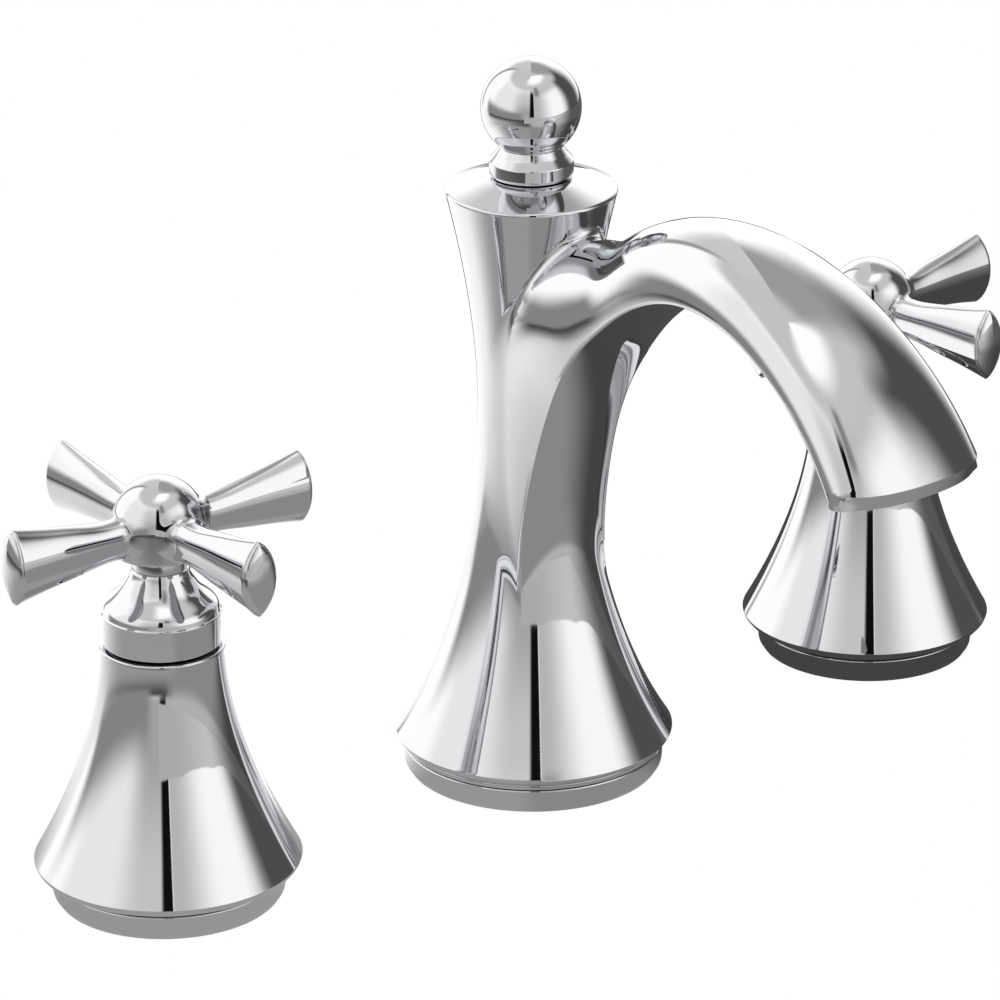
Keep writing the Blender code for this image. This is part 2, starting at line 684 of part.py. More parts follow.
def water_tube():
    tube = bent_bar("water_tube", tube_line(), TUBE_RADIUS, BRASS)
    line = tube_line()
    line[0] = line[0] + Vector((0, 0, OVERRUN))
    line[-1] = line[-1] - Vector((0, 0, OVERRUN))
    return cut(tube, bent_bar("tube_bore", line, TUBE_BORE_RADIUS))


def tube_seal():
    """The rubber ring on the tube's top end, where it enters the arm's waterway."""
    bottom = tube_top() + SEAT_GAP
    outer = WATERWAY_RADIUS - SEAT_GAP
    seal = ring("tube_seal", TUBE_BORE_RADIUS, outer, bottom, bottom + TUBE_SEAL_HEIGHT, BORE_STEPS, RUBBER)
    seal.location = (0, -TUBE_OFFSET, 0)
    return seal


def inlet_tee():
    """The tee on the tube's lower end: two side arms take the hoses from the valves."""
    top = tube_corners()[2].z
    bottom = top - TEE_HEIGHT
    centre = (top + bottom - TEE_SOCKET_DEPTH) / 2
    tee = rod("inlet_tee", TEE_RADIUS, bottom, top, SMALL_STEPS, BRASS)
    arms = rod("tee_arms", TEE_ARM_RADIUS, -TEE_ARM_REACH, TEE_ARM_REACH, SMALL_STEPS)
    join(tee, lay_along(arms, Vector((1, 0, 0)), (0, 0, centre)))
    bore = TEE_ARM_RADIUS - TEE_WALL
    through = rod("tee_bore", bore, -TEE_ARM_REACH - OVERRUN, TEE_ARM_REACH + OVERRUN, BORE_STEPS)
    cut(tee, lay_along(through, Vector((1, 0, 0)), (0, 0, centre)))
    cut(tee, rod("tee_socket", TUBE_RADIUS + SEAT_GAP, top - TEE_SOCKET_DEPTH - SEAT_GAP, top + OVERRUN, BORE_STEPS))
    cut(tee, rod("tee_throat", TUBE_BORE_RADIUS, centre, top, BORE_STEPS))
    tee.location = (0, -TUBE_OFFSET - TUBE_JOG, 0)
    return tee


def rod_guide():
    inner = ROD_RADIUS + RUNNING_GAP
    top = CROWN_HEIGHT - SEAT_GAP
    return ring("lift_rod_guide", inner, inner + GUIDE_WALL, top - GUIDE_LENGTH, top, BORE_STEPS, NYLON)


def lift_knob():
    """Ball, neck and skirt in one turned piece, with a socket for the rod."""
    foot = CROWN_HEIGHT + SEAT_GAP
    centre = foot + KNOB_BALL_HEIGHT
    low_angle = math.pi - math.asin(KNOB_NECK_RADIUS / KNOB_BALL_RADIUS)
    profile = []
    for step in range(KNOB_BALL_STEPS + 1):
        angle = low_angle * step / KNOB_BALL_STEPS
        profile.append((KNOB_BALL_RADIUS * math.sin(angle), centre + KNOB_BALL_RADIUS * math.cos(angle)))
    neck = profile[-1][1]
    lip = foot + KNOB_SKIRT_LIP
    for share in KNOB_FLARE_SHARES:
        spread = share ** KNOB_FLARE_POWER
        radius = KNOB_NECK_RADIUS + (KNOB_SKIRT_RADIUS - KNOB_NECK_RADIUS) * spread
        profile.append((radius, neck + (lip - neck) * share))
    socket = ROD_RADIUS + SEAT_GAP
    profile += [(KNOB_SKIRT_RADIUS, foot), (socket, foot), (socket, foot + KNOB_SOCKET_DEPTH),
                (0, foot + KNOB_SOCKET_DEPTH)]
    return turned("lift_knob", profile, ROUND_STEPS, CHROME)


def lift_rod():
    top = CROWN_HEIGHT + KNOB_SOCKET_DEPTH
    return rod("lift_rod", ROD_RADIUS, -ROD_BELOW_DECK, top, BORE_STEPS, STEEL)


def aerator_pieces():
    """Housing, insert and gasket, made upright and then set on the outlet's axis."""
    bottom = AERATOR_RECESS
    top = bottom + AERATOR_DEPTH
    inner = AERATOR_RADIUS - AERATOR_WALL
    lip = inner - AERATOR_WALL
    profile = [(AERATOR_RADIUS, top), (AERATOR_RADIUS, bottom), (lip, bottom), (lip, bottom + AERATOR_WALL),
               (inner, bottom + AERATOR_WALL), (inner, top)]
    housing = turned("aerator_housing", profile, SMALL_STEPS, CHROME)
    insert = rod("aerator_insert", inner - SEAT_GAP, bottom + AERATOR_WALL + SEAT_GAP, top, SMALL_STEPS, DARK_PLASTIC)
    gasket_bottom = top + SEAT_GAP
    gasket = ring("aerator_gasket", WATERWAY_RADIUS, AERATOR_RADIUS - SEAT_GAP, gasket_bottom,
                  gasket_bottom + AERATOR_GASKET, SMALL_STEPS, RUBBER)
    return [housing, insert, gasket]


def escutcheon(prefix):
    """The bell over a valve: a thin shell, open at its foot, with a hole in its top."""
    drop = BELL_HEIGHT - BELL_RIM_HEIGHT
    heights = [BELL_RIM_HEIGHT + drop * share for share in reversed(BELL_SHARES)]
    profile = [(BELL_TOP_RADIUS - BELL_EDGE, BELL_HEIGHT)]
    profile += [(bell_radius(height), height) for height in [BELL_HEIGHT - BELL_EDGE] + heights[1:]]
    profile += lip_profile(BELL_RIM_RADIUS, BELL_RIM_HEIGHT, HANDLE_RING_RADIUS)
    foot = HANDLE_RING_RADIUS - BELL_WALL
    profile += [(foot, COVER_SEAT), (foot, BELL_RIM_HEIGHT)]
    profile += [(bell_radius(height) - BELL_WALL, height) for height in reversed(heights[2:])
                if bell_radius(height) - BELL_WALL < foot]
    ceiling = BELL_HEIGHT - BELL_WALL
    profile += [(bell_radius(ceiling) - BELL_WALL, ceiling), (collar_hole(), ceiling), (collar_hole(), BELL_HEIGHT)]
    return turned(prefix + "_escutcheon", profile, FINE_STEPS, CHROME)


def collar_hole():
    return GLIDE_BORE_RADIUS + GLIDE_WALL + SEAT_GAP


def glide_ring(prefix):
    """The plastic ring that the band turns on, with a collar down the bell's top hole."""
    bottom = BELL_HEIGHT + SEAT_GAP
    top = bottom + GLIDE_HEIGHT
    rim = BAND_RADIUS - GLIDE_WALL
    outer = GLIDE_BORE_RADIUS + GLIDE_WALL
    low = bottom - GLIDE_COLLAR_LENGTH
    profile = [(rim, top), (rim, bottom), (outer, bottom), (outer, low), (GLIDE_BORE_RADIUS, low),
               (GLIDE_BORE_RADIUS, top)]
    return turned(prefix + "_glide_ring", profile, SMALL_STEPS, NYLON)


def handle_skirt(prefix):
    """Band, ogee cone and neck in one turned shell, with the set screw's hole at the back."""
    top = NECK_BOTTOM + NECK_HEIGHT
    profile = [(NECK_RADIUS, top), (NECK_RADIUS, NECK_BOTTOM)]
    low_radius = BAND_RADIUS - BAND_STEP
    for rise, spread in reversed(SKIRT_SHARES):
        radius = SKIRT_TOP_RADIUS + (low_radius - SKIRT_TOP_RADIUS) * spread
        profile.append((radius, SKIRT_BOTTOM + SKIRT_HEIGHT * rise))
    profile += [(BAND_RADIUS, SKIRT_BOTTOM - BAND_STEP), (BAND_RADIUS, BAND_BOTTOM)]
    inside = BAND_RADIUS - SKIRT_WALL
    narrow = HANDLE_SCREW_HEAD_RADIUS + SEAT_GAP
    profile += [(inside, BAND_BOTTOM), (inside, SKIRT_BOTTOM - BAND_STEP), (narrow, SCREW_SEAT - SKIRT_WALL),
                (narrow, SCREW_SEAT), (HANDLE_SCREW_RADIUS + SEAT_GAP, SCREW_SEAT),
                (HANDLE_SCREW_RADIUS + SEAT_GAP, top)]
    skirt = turned(prefix + "_handle_skirt", profile, ROUND_STEPS, CHROME)
    hole = rod(prefix + "_set_screw_hole", SET_SCREW_RADIUS + SEAT_GAP, ADAPTER_RADIUS, BAND_RADIUS + OVERRUN,
               BORE_STEPS)
    return cut(skirt, lay_along(hole, Vector((0, 1, 0)), (0, 0, set_screw_height())))


def set_screw_height():
    return BAND_BOTTOM + BAND_HEIGHT / 2


def set_screw(prefix):
    start = ADAPTER_RADIUS + SEAT_GAP
    screw = rod(prefix + "_set_screw", SET_SCREW_RADIUS, start, BAND_RADIUS - SEAT_GAP, BORE_STEPS, STEEL)
    return lay_along(screw, Vector((0, 1, 0)), (0, 0, set_screw_height()))


def handle_screw(prefix):
    """The screw up through the skirt into the hub; its head bears on the skirt's seat."""
    head_top = SCREW_SEAT - SEAT_GAP
    tip = HUB_BOTTOM + HANDLE_SCREW_DEPTH
    profile = [(0, tip), (HANDLE_SCREW_RADIUS, tip), (HANDLE_SCREW_RADIUS, head_top),
               (HANDLE_SCREW_HEAD_RADIUS, head_top), (HANDLE_SCREW_HEAD_RADIUS, head_top - HANDLE_SCREW_HEAD_HEIGHT),
               (0, head_top - HANDLE_SCREW_HEAD_HEIGHT)]
    return turned(prefix + "_handle_screw", profile, BORE_STEPS, STEEL)


def hub_solid(name):
    """The hub: a dome on an upright drum, with a narrower round foot on the skirt's neck."""
    centre = HUB_BOTTOM + HUB_CENTRE_RISE
    drum_bottom = HUB_BOTTOM + HUB_FOOT_HEIGHT
    profile = []
    for step in range(HUB_STEPS + 1):
        angle = math.pi / 2 * step / HUB_STEPS
        profile.append((HUB_RADIUS * math.sin(angle), centre + HUB_RADIUS * math.cos(angle)))
    profile += [(HUB_RADIUS, drum_bottom + HUB_EDGE), (HUB_RADIUS - HUB_EDGE, drum_bottom)]
    profile += [(HUB_FOOT_RADIUS, drum_bottom), (HUB_FOOT_RADIUS, HUB_BOTTOM), (0, HUB_BOTTOM)]
    return turned(name, profile, ROUND_STEPS, CHROME)


def cross_arm(name):
    """One arm along +X: an oval root with a collar, flaring to a tall lens-shaped end with a dome."""
    collar_end = CROSS_ROOT_REACH + CROSS_COLLAR_LENGTH
    run = CROSS_REACH - CROSS_TIP_DOME - collar_end
    collar_height = CROSS_ROOT_HEIGHT + 2 * CROSS_COLLAR
    collar_width = CROSS_ROOT_WIDTH + 2 * CROSS_COLLAR
    sizes = [(0, collar_height, collar_width, 0), (collar_end, collar_height, collar_width, 0)]
    sizes.append((collar_end + CROSS_COLLAR, CROSS_ROOT_HEIGHT, CROSS_ROOT_WIDTH, 0))
    for along, spread in CROSS_FLARE_SHARES:
        tall = CROSS_ROOT_HEIGHT + (CROSS_TIP_HEIGHT - CROSS_ROOT_HEIGHT) * spread
        wide = CROSS_ROOT_WIDTH + (CROSS_TIP_WIDTH - CROSS_ROOT_WIDTH) * spread
        sizes.append((collar_end + CROSS_COLLAR + run * along, tall, wide, along))
    end = sizes[-1]
    dome = CROSS_REACH - end[0]
    for share in CROSS_DOME_SHARES:
        shrink = math.sqrt(1 - share ** 2)
        sizes.append((end[0] + dome * share, end[1] * shrink, end[2] * shrink, 1))
    bm = bmesh.new()
    rings = []
    for reach, tall, wide, lens in sizes:
        side_power = 2 / (CROSS_POWER + (CROSS_TIP_SIDE_POWER - CROSS_POWER) * lens)
        edge_power = 2 / (CROSS_POWER + (CROSS_TIP_EDGE_POWER - CROSS_POWER) * lens)
        loop = []
        for side in range(CROSS_SIDES):
            angle = 2 * math.pi * side / CROSS_SIDES
            y = math.copysign(abs(math.cos(angle)) ** side_power, math.cos(angle)) * wide / 2
            z = math.copysign(abs(math.sin(angle)) ** edge_power, math.sin(angle)) * tall / 2
            loop.append(bm.verts.new((reach, y, CROSS_HEIGHT + z)))
        rings.append(loop)
    for near, far in zip(rings, rings[1:]):
        for i in range(CROSS_SIDES):
            j = (i + 1) % CROSS_SIDES
            bm.faces.new((near[i], near[j], far[j], far[i]))
    bm.faces.new(reversed(rings[0]))
    bm.faces.new(rings[-1])
    bmesh.ops.recalc_face_normals(bm, faces=bm.faces)
    return object_from(name, bm)


def cross_handle(prefix):
    """Hub and four arms as one casting, bored from below for the handle screw."""
    handle = hub_solid(prefix + "_cross_handle")
    for quarter in range(4):
        arm = cross_arm(prefix + "_arm_" + str(quarter))
        arm.matrix_basis = Matrix.Rotation(quarter * math.pi / 2, 4, "Z")
        join(handle, bake_place(arm))
    bore_top = HUB_BOTTOM + HANDLE_SCREW_DEPTH + SEAT_GAP
    return cut(handle, rod(prefix + "_hub_bore", HANDLE_SCREW_RADIUS + SEAT_GAP, HUB_BOTTOM - OVERRUN, bore_top,
                           BORE_STEPS))


def cartridge_bottom():
    return VALVE_FLOOR_HEIGHT + SEAT_GAP + SEAL_HEIGHT + SEAT_GAP


def disc_radius():
    return VALVE_BORE_RADIUS - SEAT_GAP - CARTRIDGE_WALL - RUNNING_GAP


def stem_foot():
    return cartridge_bottom() + 2 * DISC_HEIGHT + 2 * SEAT_GAP


def ported_disc(name, bottom):
    """A ceramic disc with two round ports."""
    disc = rod(name, disc_radius(), bottom, bottom + DISC_HEIGHT, SMALL_STEPS, CERAMIC)
    for side in (-1, 1):
        port = rod(name + "_port", PORT_RADIUS, bottom - OVERRUN, bottom + DISC_HEIGHT + OVERRUN, BORE_STEPS)
        port.location = (side * PORT_OFFSET, 0, 0)
        cut(disc, bake_place(port))
    return disc


def cartridge_seal(prefix):
    """The rubber ring between the cartridge and the valve's floor."""
    outer = VALVE_BORE_RADIUS - SEAT_GAP
    bottom = VALVE_FLOOR_HEIGHT + SEAT_GAP
    return ring(prefix + "_cartridge_seal", outer - SEAL_WALL, outer, bottom, bottom + SEAL_HEIGHT, SMALL_STEPS, RUBBER)


def cartridge_housing(prefix):
    """The cartridge's shell: discs in its foot, a flange on the barrel's top, a collar for the stem."""
    outer = VALVE_BORE_RADIUS - SEAT_GAP
    bottom = cartridge_bottom()
    flange_bottom = VALVE_BARREL_HEIGHT + SEAT_GAP
    flange_top = flange_bottom + CARTRIDGE_FLANGE_HEIGHT
    top = flange_top + CARTRIDGE_COLLAR_HEIGHT
    inner = outer - CARTRIDGE_WALL
    roof = stem_foot() + STEM_FOOT_HEIGHT + RUNNING_GAP
    bore = STEM_RADIUS + RUNNING_GAP
    profile = [(CARTRIDGE_COLLAR_RADIUS, top), (CARTRIDGE_COLLAR_RADIUS, flange_top), (VALVE_BARREL_RADIUS, flange_top),
               (VALVE_BARREL_RADIUS, flange_bottom), (outer, flange_bottom), (outer, bottom), (inner, bottom),
               (inner, roof), (bore, roof), (bore, top)]
    return turned(prefix + "_cartridge_housing", profile, SMALL_STEPS, NYLON)


def cartridge_stem(prefix):
    """The spindle: a foot on the rotating disc and a long round shaft up into the handle."""
    foot = stem_foot()
    top = BAND_BOTTOM + STEM_ABOVE_BAND
    profile = [(0, top), (STEM_RADIUS, top), (STEM_RADIUS, foot + STEM_FOOT_HEIGHT),
               (disc_radius(), foot + STEM_FOOT_HEIGHT), (disc_radius(), foot), (0, foot)]
    return turned(prefix + "_cartridge_stem", profile, SMALL_STEPS, BRASS)


def stem_adapter(prefix):
    """The bush that carries the handle on the stem; the set screw bears on its side."""
    stem_top = BAND_BOTTOM + STEM_ABOVE_BAND
    top = stem_top + SEAT_GAP + ADAPTER_ROOF
    bore = STEM_RADIUS + SEAT_GAP
    shoulder = BAND_BOTTOM + BAND_HEIGHT - BAND_STEP
    profile = [(0, top), (ADAPTER_TOP_RADIUS, top), (ADAPTER_RADIUS, shoulder), (ADAPTER_RADIUS, BAND_BOTTOM),
               (bore, BAND_BOTTOM), (bore, stem_top + SEAT_GAP), (0, stem_top + SEAT_GAP)]
    return turned(prefix + "_stem_adapter", profile, SMALL_STEPS, BRASS)


def bonnet_nut(prefix):
    """The hexagonal cap nut that holds the cartridge down in the valve."""
    inner = VALVE_BARREL_RADIUS + SEAT_GAP
    roof = VALVE_BARREL_HEIGHT + 2 * SEAT_GAP + CARTRIDGE_FLANGE_HEIGHT
    top = roof + BONNET_TOP_HEIGHT
    nut = rod(prefix + "_bonnet_nut", inner + BONNET_WALL, top - BONNET_HEIGHT, top, NUT_SIDES, BRASS)
    cut(nut, rod(prefix + "_bonnet_bore", inner, top - BONNET_HEIGHT - OVERRUN, roof, SMALL_STEPS))
    return cut(nut, rod(prefix + "_bonnet_hole", CARTRIDGE_COLLAR_RADIUS + SEAT_GAP, roof - OVERRUN, top + OVERRUN,
                        SMALL_STEPS))


def valve_body(prefix, side):
    """The brass valve: barrel, threaded shank, inlet below and side outlet towards the spout."""
    bottom = -VALVE_BELOW_DECK
    inlet = bottom - VALVE_INLET_LENGTH
    profile = [(0, VALVE_BARREL_HEIGHT), (VALVE_BARREL_RADIUS, VALVE_BARREL_HEIGHT),
               (VALVE_BARREL_RADIUS, VALVE_SHOULDER_HEIGHT), (SHANK_RADIUS, VALVE_SHOULDER_HEIGHT),
               (SHANK_RADIUS, bottom), (VALVE_INLET_RADIUS, bottom), (VALVE_INLET_RADIUS, inlet), (0, inlet)]
    valve = turned(prefix + "_valve_body", profile, SMALL_STEPS, BRASS)
    outlet_height = bottom + VALVE_OUTLET_RISE
    outward = Vector((side, 0, 0))
    nipple = rod(prefix + "_outlet", VALVE_OUTLET_RADIUS, 0, VALVE_OUTLET_REACH, SMALL_STEPS)
    join(valve, lay_along(nipple, outward, (0, 0, outlet_height)))
    cut(valve, rod(prefix + "_barrel_bore", VALVE_BORE_RADIUS, VALVE_FLOOR_HEIGHT, VALVE_BARREL_HEIGHT + OVERRUN,
                   SMALL_STEPS))
    inlet_bore = rod(prefix + "_inlet_bore", VALVE_CHANNEL_RADIUS, inlet - OVERRUN, VALVE_FLOOR_HEIGHT + OVERRUN,
                     BORE_STEPS)
    inlet_bore.location = (-side * (VALVE_CHANNEL_RADIUS - SEAT_GAP), 0, 0)
    cut(valve, bake_place(inlet_bore))
    channel = rod(prefix + "_channel", VALVE_CHANNEL_RADIUS / 2, outlet_height, VALVE_FLOOR_HEIGHT + OVERRUN,
                  BORE_STEPS)
    channel.location = (side * PORT_OFFSET, 0, 0)
    cut(valve, bake_place(channel))
    outlet_bore = rod(prefix + "_outlet_bore", VALVE_CHANNEL_RADIUS, 0, VALVE_OUTLET_REACH, BORE_STEPS)
    start = Vector((side * (PORT_OFFSET - VALVE_CHANNEL_RADIUS / 2), 0, outlet_height))
    return cut(valve, lay_along(outlet_bore, outward, start))


def axis_empty(name, x):
    empty = bpy.data.objects.new(name, None)
    named_collection(PARTS).objects.link(empty)
    empty.location = (x, 0, 0)
    return empty


def carry(parent, pieces):
    for piece in pieces:
        piece.parent = parent


def build_spout():
    fixed = axis_empty("spout_axis", 0)
    carry(fixed, [
        spout_body(),
        base_ring("spout_base_ring", SPOUT_RING_RADIUS, SHANK_BORE_RADIUS, CHROME),
        base_gasket("spout_base_gasket", SPOUT_RING_RADIUS, SHANK_BORE_RADIUS),
        spout_shank(),
        grub_screw(),
        water_tube(),
        tube_seal(),
        inlet_tee(),
        rod_guide(),
    ])
    carry(fixed, under_deck_set("spout"))
    outlet = axis_empty("outlet_axis", 0)
    outlet.matrix_basis = outlet_matrix()
    carry(outlet, aerator_pieces())
    lift = axis_empty("lift_axis", 0)
    carry(lift, [lift_knob(), lift_rod()])


def build_handle(prefix, side, rest_turn):
    """One handle on its valve; side is the way from the handle to the spout."""
    x = -side * HANDLE_SPACING / 2
    fixed = axis_empty(prefix + "_valve_axis", x)
    carry(fixed, [
        escutcheon(prefix),
        base_ring(prefix + "_base_ring", HANDLE_RING_RADIUS, SHANK_BORE_RADIUS, CHROME),
        base_gasket(prefix + "_base_gasket", HANDLE_RING_RADIUS, SHANK_BORE_RADIUS),
        glide_ring(prefix),
        valve_body(prefix, side),
        cartridge_seal(prefix),
        cartridge_housing(prefix),
        ported_disc(prefix + "_fixed_disc", cartridge_bottom()),
        bonnet_nut(prefix),
    ])
    carry(fixed, under_deck_set(prefix))
    turning = axis_empty(prefix + "_handle_axis", x)
    turning.rotation_euler.z = rest_turn
    carry(turning, [
        cross_handle(prefix),
        handle_skirt(prefix),
        set_screw(prefix),
        handle_screw(prefix),
        stem_adapter(prefix),
        cartridge_stem(prefix),
        ported_disc(prefix + "_rotating_disc", cartridge_bottom() + DISC_HEIGHT + SEAT_GAP),
    ])


def main():
    clear_scene()
    build_spout()
    build_handle("hot", 1, HOT_REST_TURN)
    build_handle("cold", -1, COLD_REST_TURN)


main()
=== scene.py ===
# %% [markdown]
# # A widespread bathroom faucet
# Three posts stand on the deck of a washbasin: an arched spout on a turned column, and a cross
# handle on a bell at each side. Under the deck are the valves, threaded shanks, washers and nuts.
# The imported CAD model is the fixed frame: it says where every part is and how it moves. This
# script dresses that frame with finely made pieces, real finishes, a studio and a camera.

# %% Load the frame and keep its box
import math
import bmesh
import bpy
import numpy as np
from mathutils import Matrix, Vector


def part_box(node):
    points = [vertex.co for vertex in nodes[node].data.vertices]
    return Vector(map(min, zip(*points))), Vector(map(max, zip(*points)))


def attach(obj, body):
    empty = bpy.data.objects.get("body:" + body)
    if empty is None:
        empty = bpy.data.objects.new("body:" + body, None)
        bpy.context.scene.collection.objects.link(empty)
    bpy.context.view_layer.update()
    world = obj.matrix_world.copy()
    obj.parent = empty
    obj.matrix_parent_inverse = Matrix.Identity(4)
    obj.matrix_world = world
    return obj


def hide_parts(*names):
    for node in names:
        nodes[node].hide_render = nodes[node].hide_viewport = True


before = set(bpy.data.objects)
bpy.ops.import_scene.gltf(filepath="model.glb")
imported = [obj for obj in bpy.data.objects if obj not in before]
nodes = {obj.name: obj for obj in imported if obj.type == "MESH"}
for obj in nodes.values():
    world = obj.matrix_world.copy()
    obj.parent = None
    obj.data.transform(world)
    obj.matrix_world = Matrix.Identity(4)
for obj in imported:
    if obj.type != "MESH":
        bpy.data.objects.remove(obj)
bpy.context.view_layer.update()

# %% [markdown]
# ## The camera
# The picture was taken with a long lens from a little above and from the left, so the posts keep
# nearly parallel sides. Azimuth 0 looks from the front, along +Y; the camera stands 40 degrees
# round to the left. A camera looks along its own -Z, so its matrix is its right, up and back.

# %% Camera
CAMERA_AZIMUTH = math.radians(-39.95)
CAMERA_ELEVATION = math.radians(22.17)
CAMERA_ROLL = math.radians(-0.32)
CAMERA_DISTANCE = 1.2117
CAMERA_TARGET = Vector((-0.03044, -0.02528, 0.07835))
FOCAL_SHARE = 5.716

back = Vector((math.sin(CAMERA_AZIMUTH) * math.cos(CAMERA_ELEVATION),
               -math.cos(CAMERA_AZIMUTH) * math.cos(CAMERA_ELEVATION), math.sin(CAMERA_ELEVATION)))
level = Vector((math.cos(CAMERA_AZIMUTH), math.sin(CAMERA_AZIMUTH), 0))
turn = Matrix.Rotation(CAMERA_ROLL, 3, back)
axes = Matrix((turn @ level, turn @ back.cross(level), back)).transposed()

lens = bpy.data.cameras.new("camera")
lens.sensor_width = 36
lens.lens = FOCAL_SHARE * lens.sensor_width
lens.clip_start = 0.05
lens.clip_end = 50
camera = bpy.data.objects.new("camera", lens)
camera.matrix_world = Matrix.Translation(CAMERA_TARGET + back * CAMERA_DISTANCE) @ axes.to_4x4()
bpy.context.scene.collection.objects.link(camera)
bpy.context.scene.camera = camera
print("camera at", [round(c, 3) for c in camera.location], "with a lens of", round(lens.lens, 1), "mm")

# %% [markdown]
# ## Colours and nodes
# Paint and metal colours are known as sRGB hex values, but Blender's shaders work in linear light,
# so one function turns the one into the other. A second adds a node with its settings and links,
# so that a material reads as a short list of what it is made of.

# %% Colour and node helpers
def linear(hex_colour):
    """An sRGB hex colour as linear red, green, blue and alpha."""
    shares = [int(hex_colour[i:i + 2], 16) / 255 for i in (1, 3, 5)]
    return [s / 12.92 if s <= 0.04045 else ((s + 0.055) / 1.055) ** 2.4 for s in shares] + [1]


def add(tree, kind, inputs=None, **settings):
    """Add a node: settings are its properties; inputs are values, sockets, or nodes to link from."""
    made = tree.nodes.new(kind)
    for name, value in settings.items():
        setattr(made, name, value)
    for name, value in (inputs or {}).items():
        if isinstance(value, bpy.types.Node):
            value = value.outputs[0]
        if isinstance(value, bpy.types.NodeSocket):
            tree.links.new(value, made.inputs[name])
        else:
            made.inputs[name].default_value = value
    return made


def per_metre(millimetres):
    """A texture's scale for a pattern that repeats about once in so many millimetres."""
    return 1000 / millimetres

# %% [markdown]
# ## The studio
# Polished chrome has no look of its own: it shows the room. The room here is the one in the
# ball on the lift knob: a big softbox at the left and one at the right, a narrow black gap between
# them where the camera stands, a light over the table and the table itself, dark near the camera
# and white far behind. A world shader can draw such a room by direction alone. Each panel is a
# patch with soft edges, in degrees of azimuth, counted from the camera, and of elevation, and
# each lies over the ones before it.

# %% The room's panels
ROOM_LIGHT = 1.45
PANELS = (
    # left, right, bottom, top, softness of those four edges, light
    (-190, 190, -100, -10, (1, 1, 1, 4), 1.30),     # table, far and white
    (-106, 190, -100, -10, (60, 1, 1, 4), 0.52),    # its grey towards the left
    (-46, 190, -100, -10, (66, 1, 1, 4), 0.12),     # its dark part near the camera
    (-48, 20, -100, -30, (60, 10, 1, 16), 0.17),
    (10, 190, -100, -11, (6, 1, 1, 2), 0.22),
    (44, 80, -100, -8, (26, 22, 1, 4), 0.66),       # the right softbox's pool on the table
    (96, 150, -100, -10, (20, 16, 1, 4), 0.12),
    (146, 190, -100, -10, (20, 1, 1, 4), 0.85),
    (-112, 3, -19, -7, (14, 8, 8, 4), 0.09),        # the table's dark edge
    (-190, 190, 46, 100, (1, 1, 18, 1), 0.76),      # ceiling
    (120, 190, 40, 78, (24, 1, 24, 16), 0.45),
    (-190, -140, 32, 70, (1, 10, 22, 10), 0.80),
    (-24, 112, 68, 100, (44, 20, 12, 1), 1.40),     # light over the table
    (-142, -4, -11, 51, (5, 14, 3, 14), 1.38),      # left softbox
    (-97, -4, -6, 50, (16, 14, 12, 18), 1.12),
    (-38, -2, -11, 48, (34, 10, 3, 34), 0.76),      # its falling off towards the camera
    (-30, 2, -11, 16, (30, 10, 3, 26), 0.50),
    (-116, -20, -14, 2, (14, 16, 3, 14), 0.32),
    (-148, -141, -14, 54, (5, 5, 6, 20), 0.45),     # dark frame at its far side
    (7, 104, -11, 52, (1.4, 26, 3, 8), 0.64),       # right softbox
    (34, 84, -11, 44, (44, 24, 3, 20), 1.32),
    (92, 142, -11, 48, (18, 34, 4, 14), 0.10),      # dark wall beyond it
    (10, 24, 40, 60, (10, 12, 8, 6), 0.30),
    (-3.5, 6.5, -11, 50, (4, 0.9, 3, 12), 0.006),   # black gap, with the camera in it
)

# %% [markdown]
# Opposite the camera hangs a black flag. Chrome shows it only where the surface turns edge-on to
# the camera, so it draws a fine dark line round every piece, and white metal stands out from a
# white background. That is an old trick of catalogue photographers.

# %% World nodes: direction, panels and flag
FLAG_SIZE = math.radians(17)
FLAG_SOFTNESS = math.radians(5)
FLAG_LIGHT = 0.10

world = bpy.data.worlds.new("studio")
bpy.context.scene.world = world
world.use_nodes = True
sky = world.node_tree
sky.nodes.clear()

heading = add(sky, "ShaderNodeTexCoord")
turned_heading = add(sky, "ShaderNodeVectorRotate", {"Vector": heading, "Angle": -CAMERA_AZIMUTH},
                     rotation_type="Z_AXIS")
along_axes = add(sky, "ShaderNodeSeparateXYZ", {0: turned_heading})
forward = add(sky, "ShaderNodeMath", {0: along_axes.outputs["Y"], 1: -1.0}, operation="MULTIPLY")
azimuth_angle = add(sky, "ShaderNodeMath", {0: along_axes.outputs["X"], 1: forward}, operation="ARCTAN2")
azimuth = add(sky, "ShaderNodeMath", {0: azimuth_angle}, operation="DEGREES")
elevation_angle = add(sky, "ShaderNodeMath", {0: along_axes.outputs["Z"]}, operation="ARCSINE")
elevation = add(sky, "ShaderNodeMath", {0: elevation_angle}, operation="DEGREES")


def soft_patch(edges):
    """Mask that is one inside all edges; an edge is its angle, place and softness, below zero to fall."""
    mask = 1.0
    for angle, place, softness in edges:
        rise = add(sky, "ShaderNodeMapRange", {"Value": angle, "From Min": place - softness / 2,
                                               "From Max": place + softness / 2},
                   interpolation_type="SMOOTHSTEP")
        mask = add(sky, "ShaderNodeMath", {0: mask, 1: rise}, operation="MULTIPLY")
    return mask


room = ROOM_LIGHT
for left, right, bottom, top, soft, light in PANELS:
    patch = soft_patch(((azimuth, left, soft[0]), (azimuth, right, -soft[1]),
                        (elevation, bottom, soft[2]), (elevation, top, -soft[3])))
    room = add(sky, "ShaderNodeMix", {"Factor": patch, "A": room, "B": light}, data_type="FLOAT")

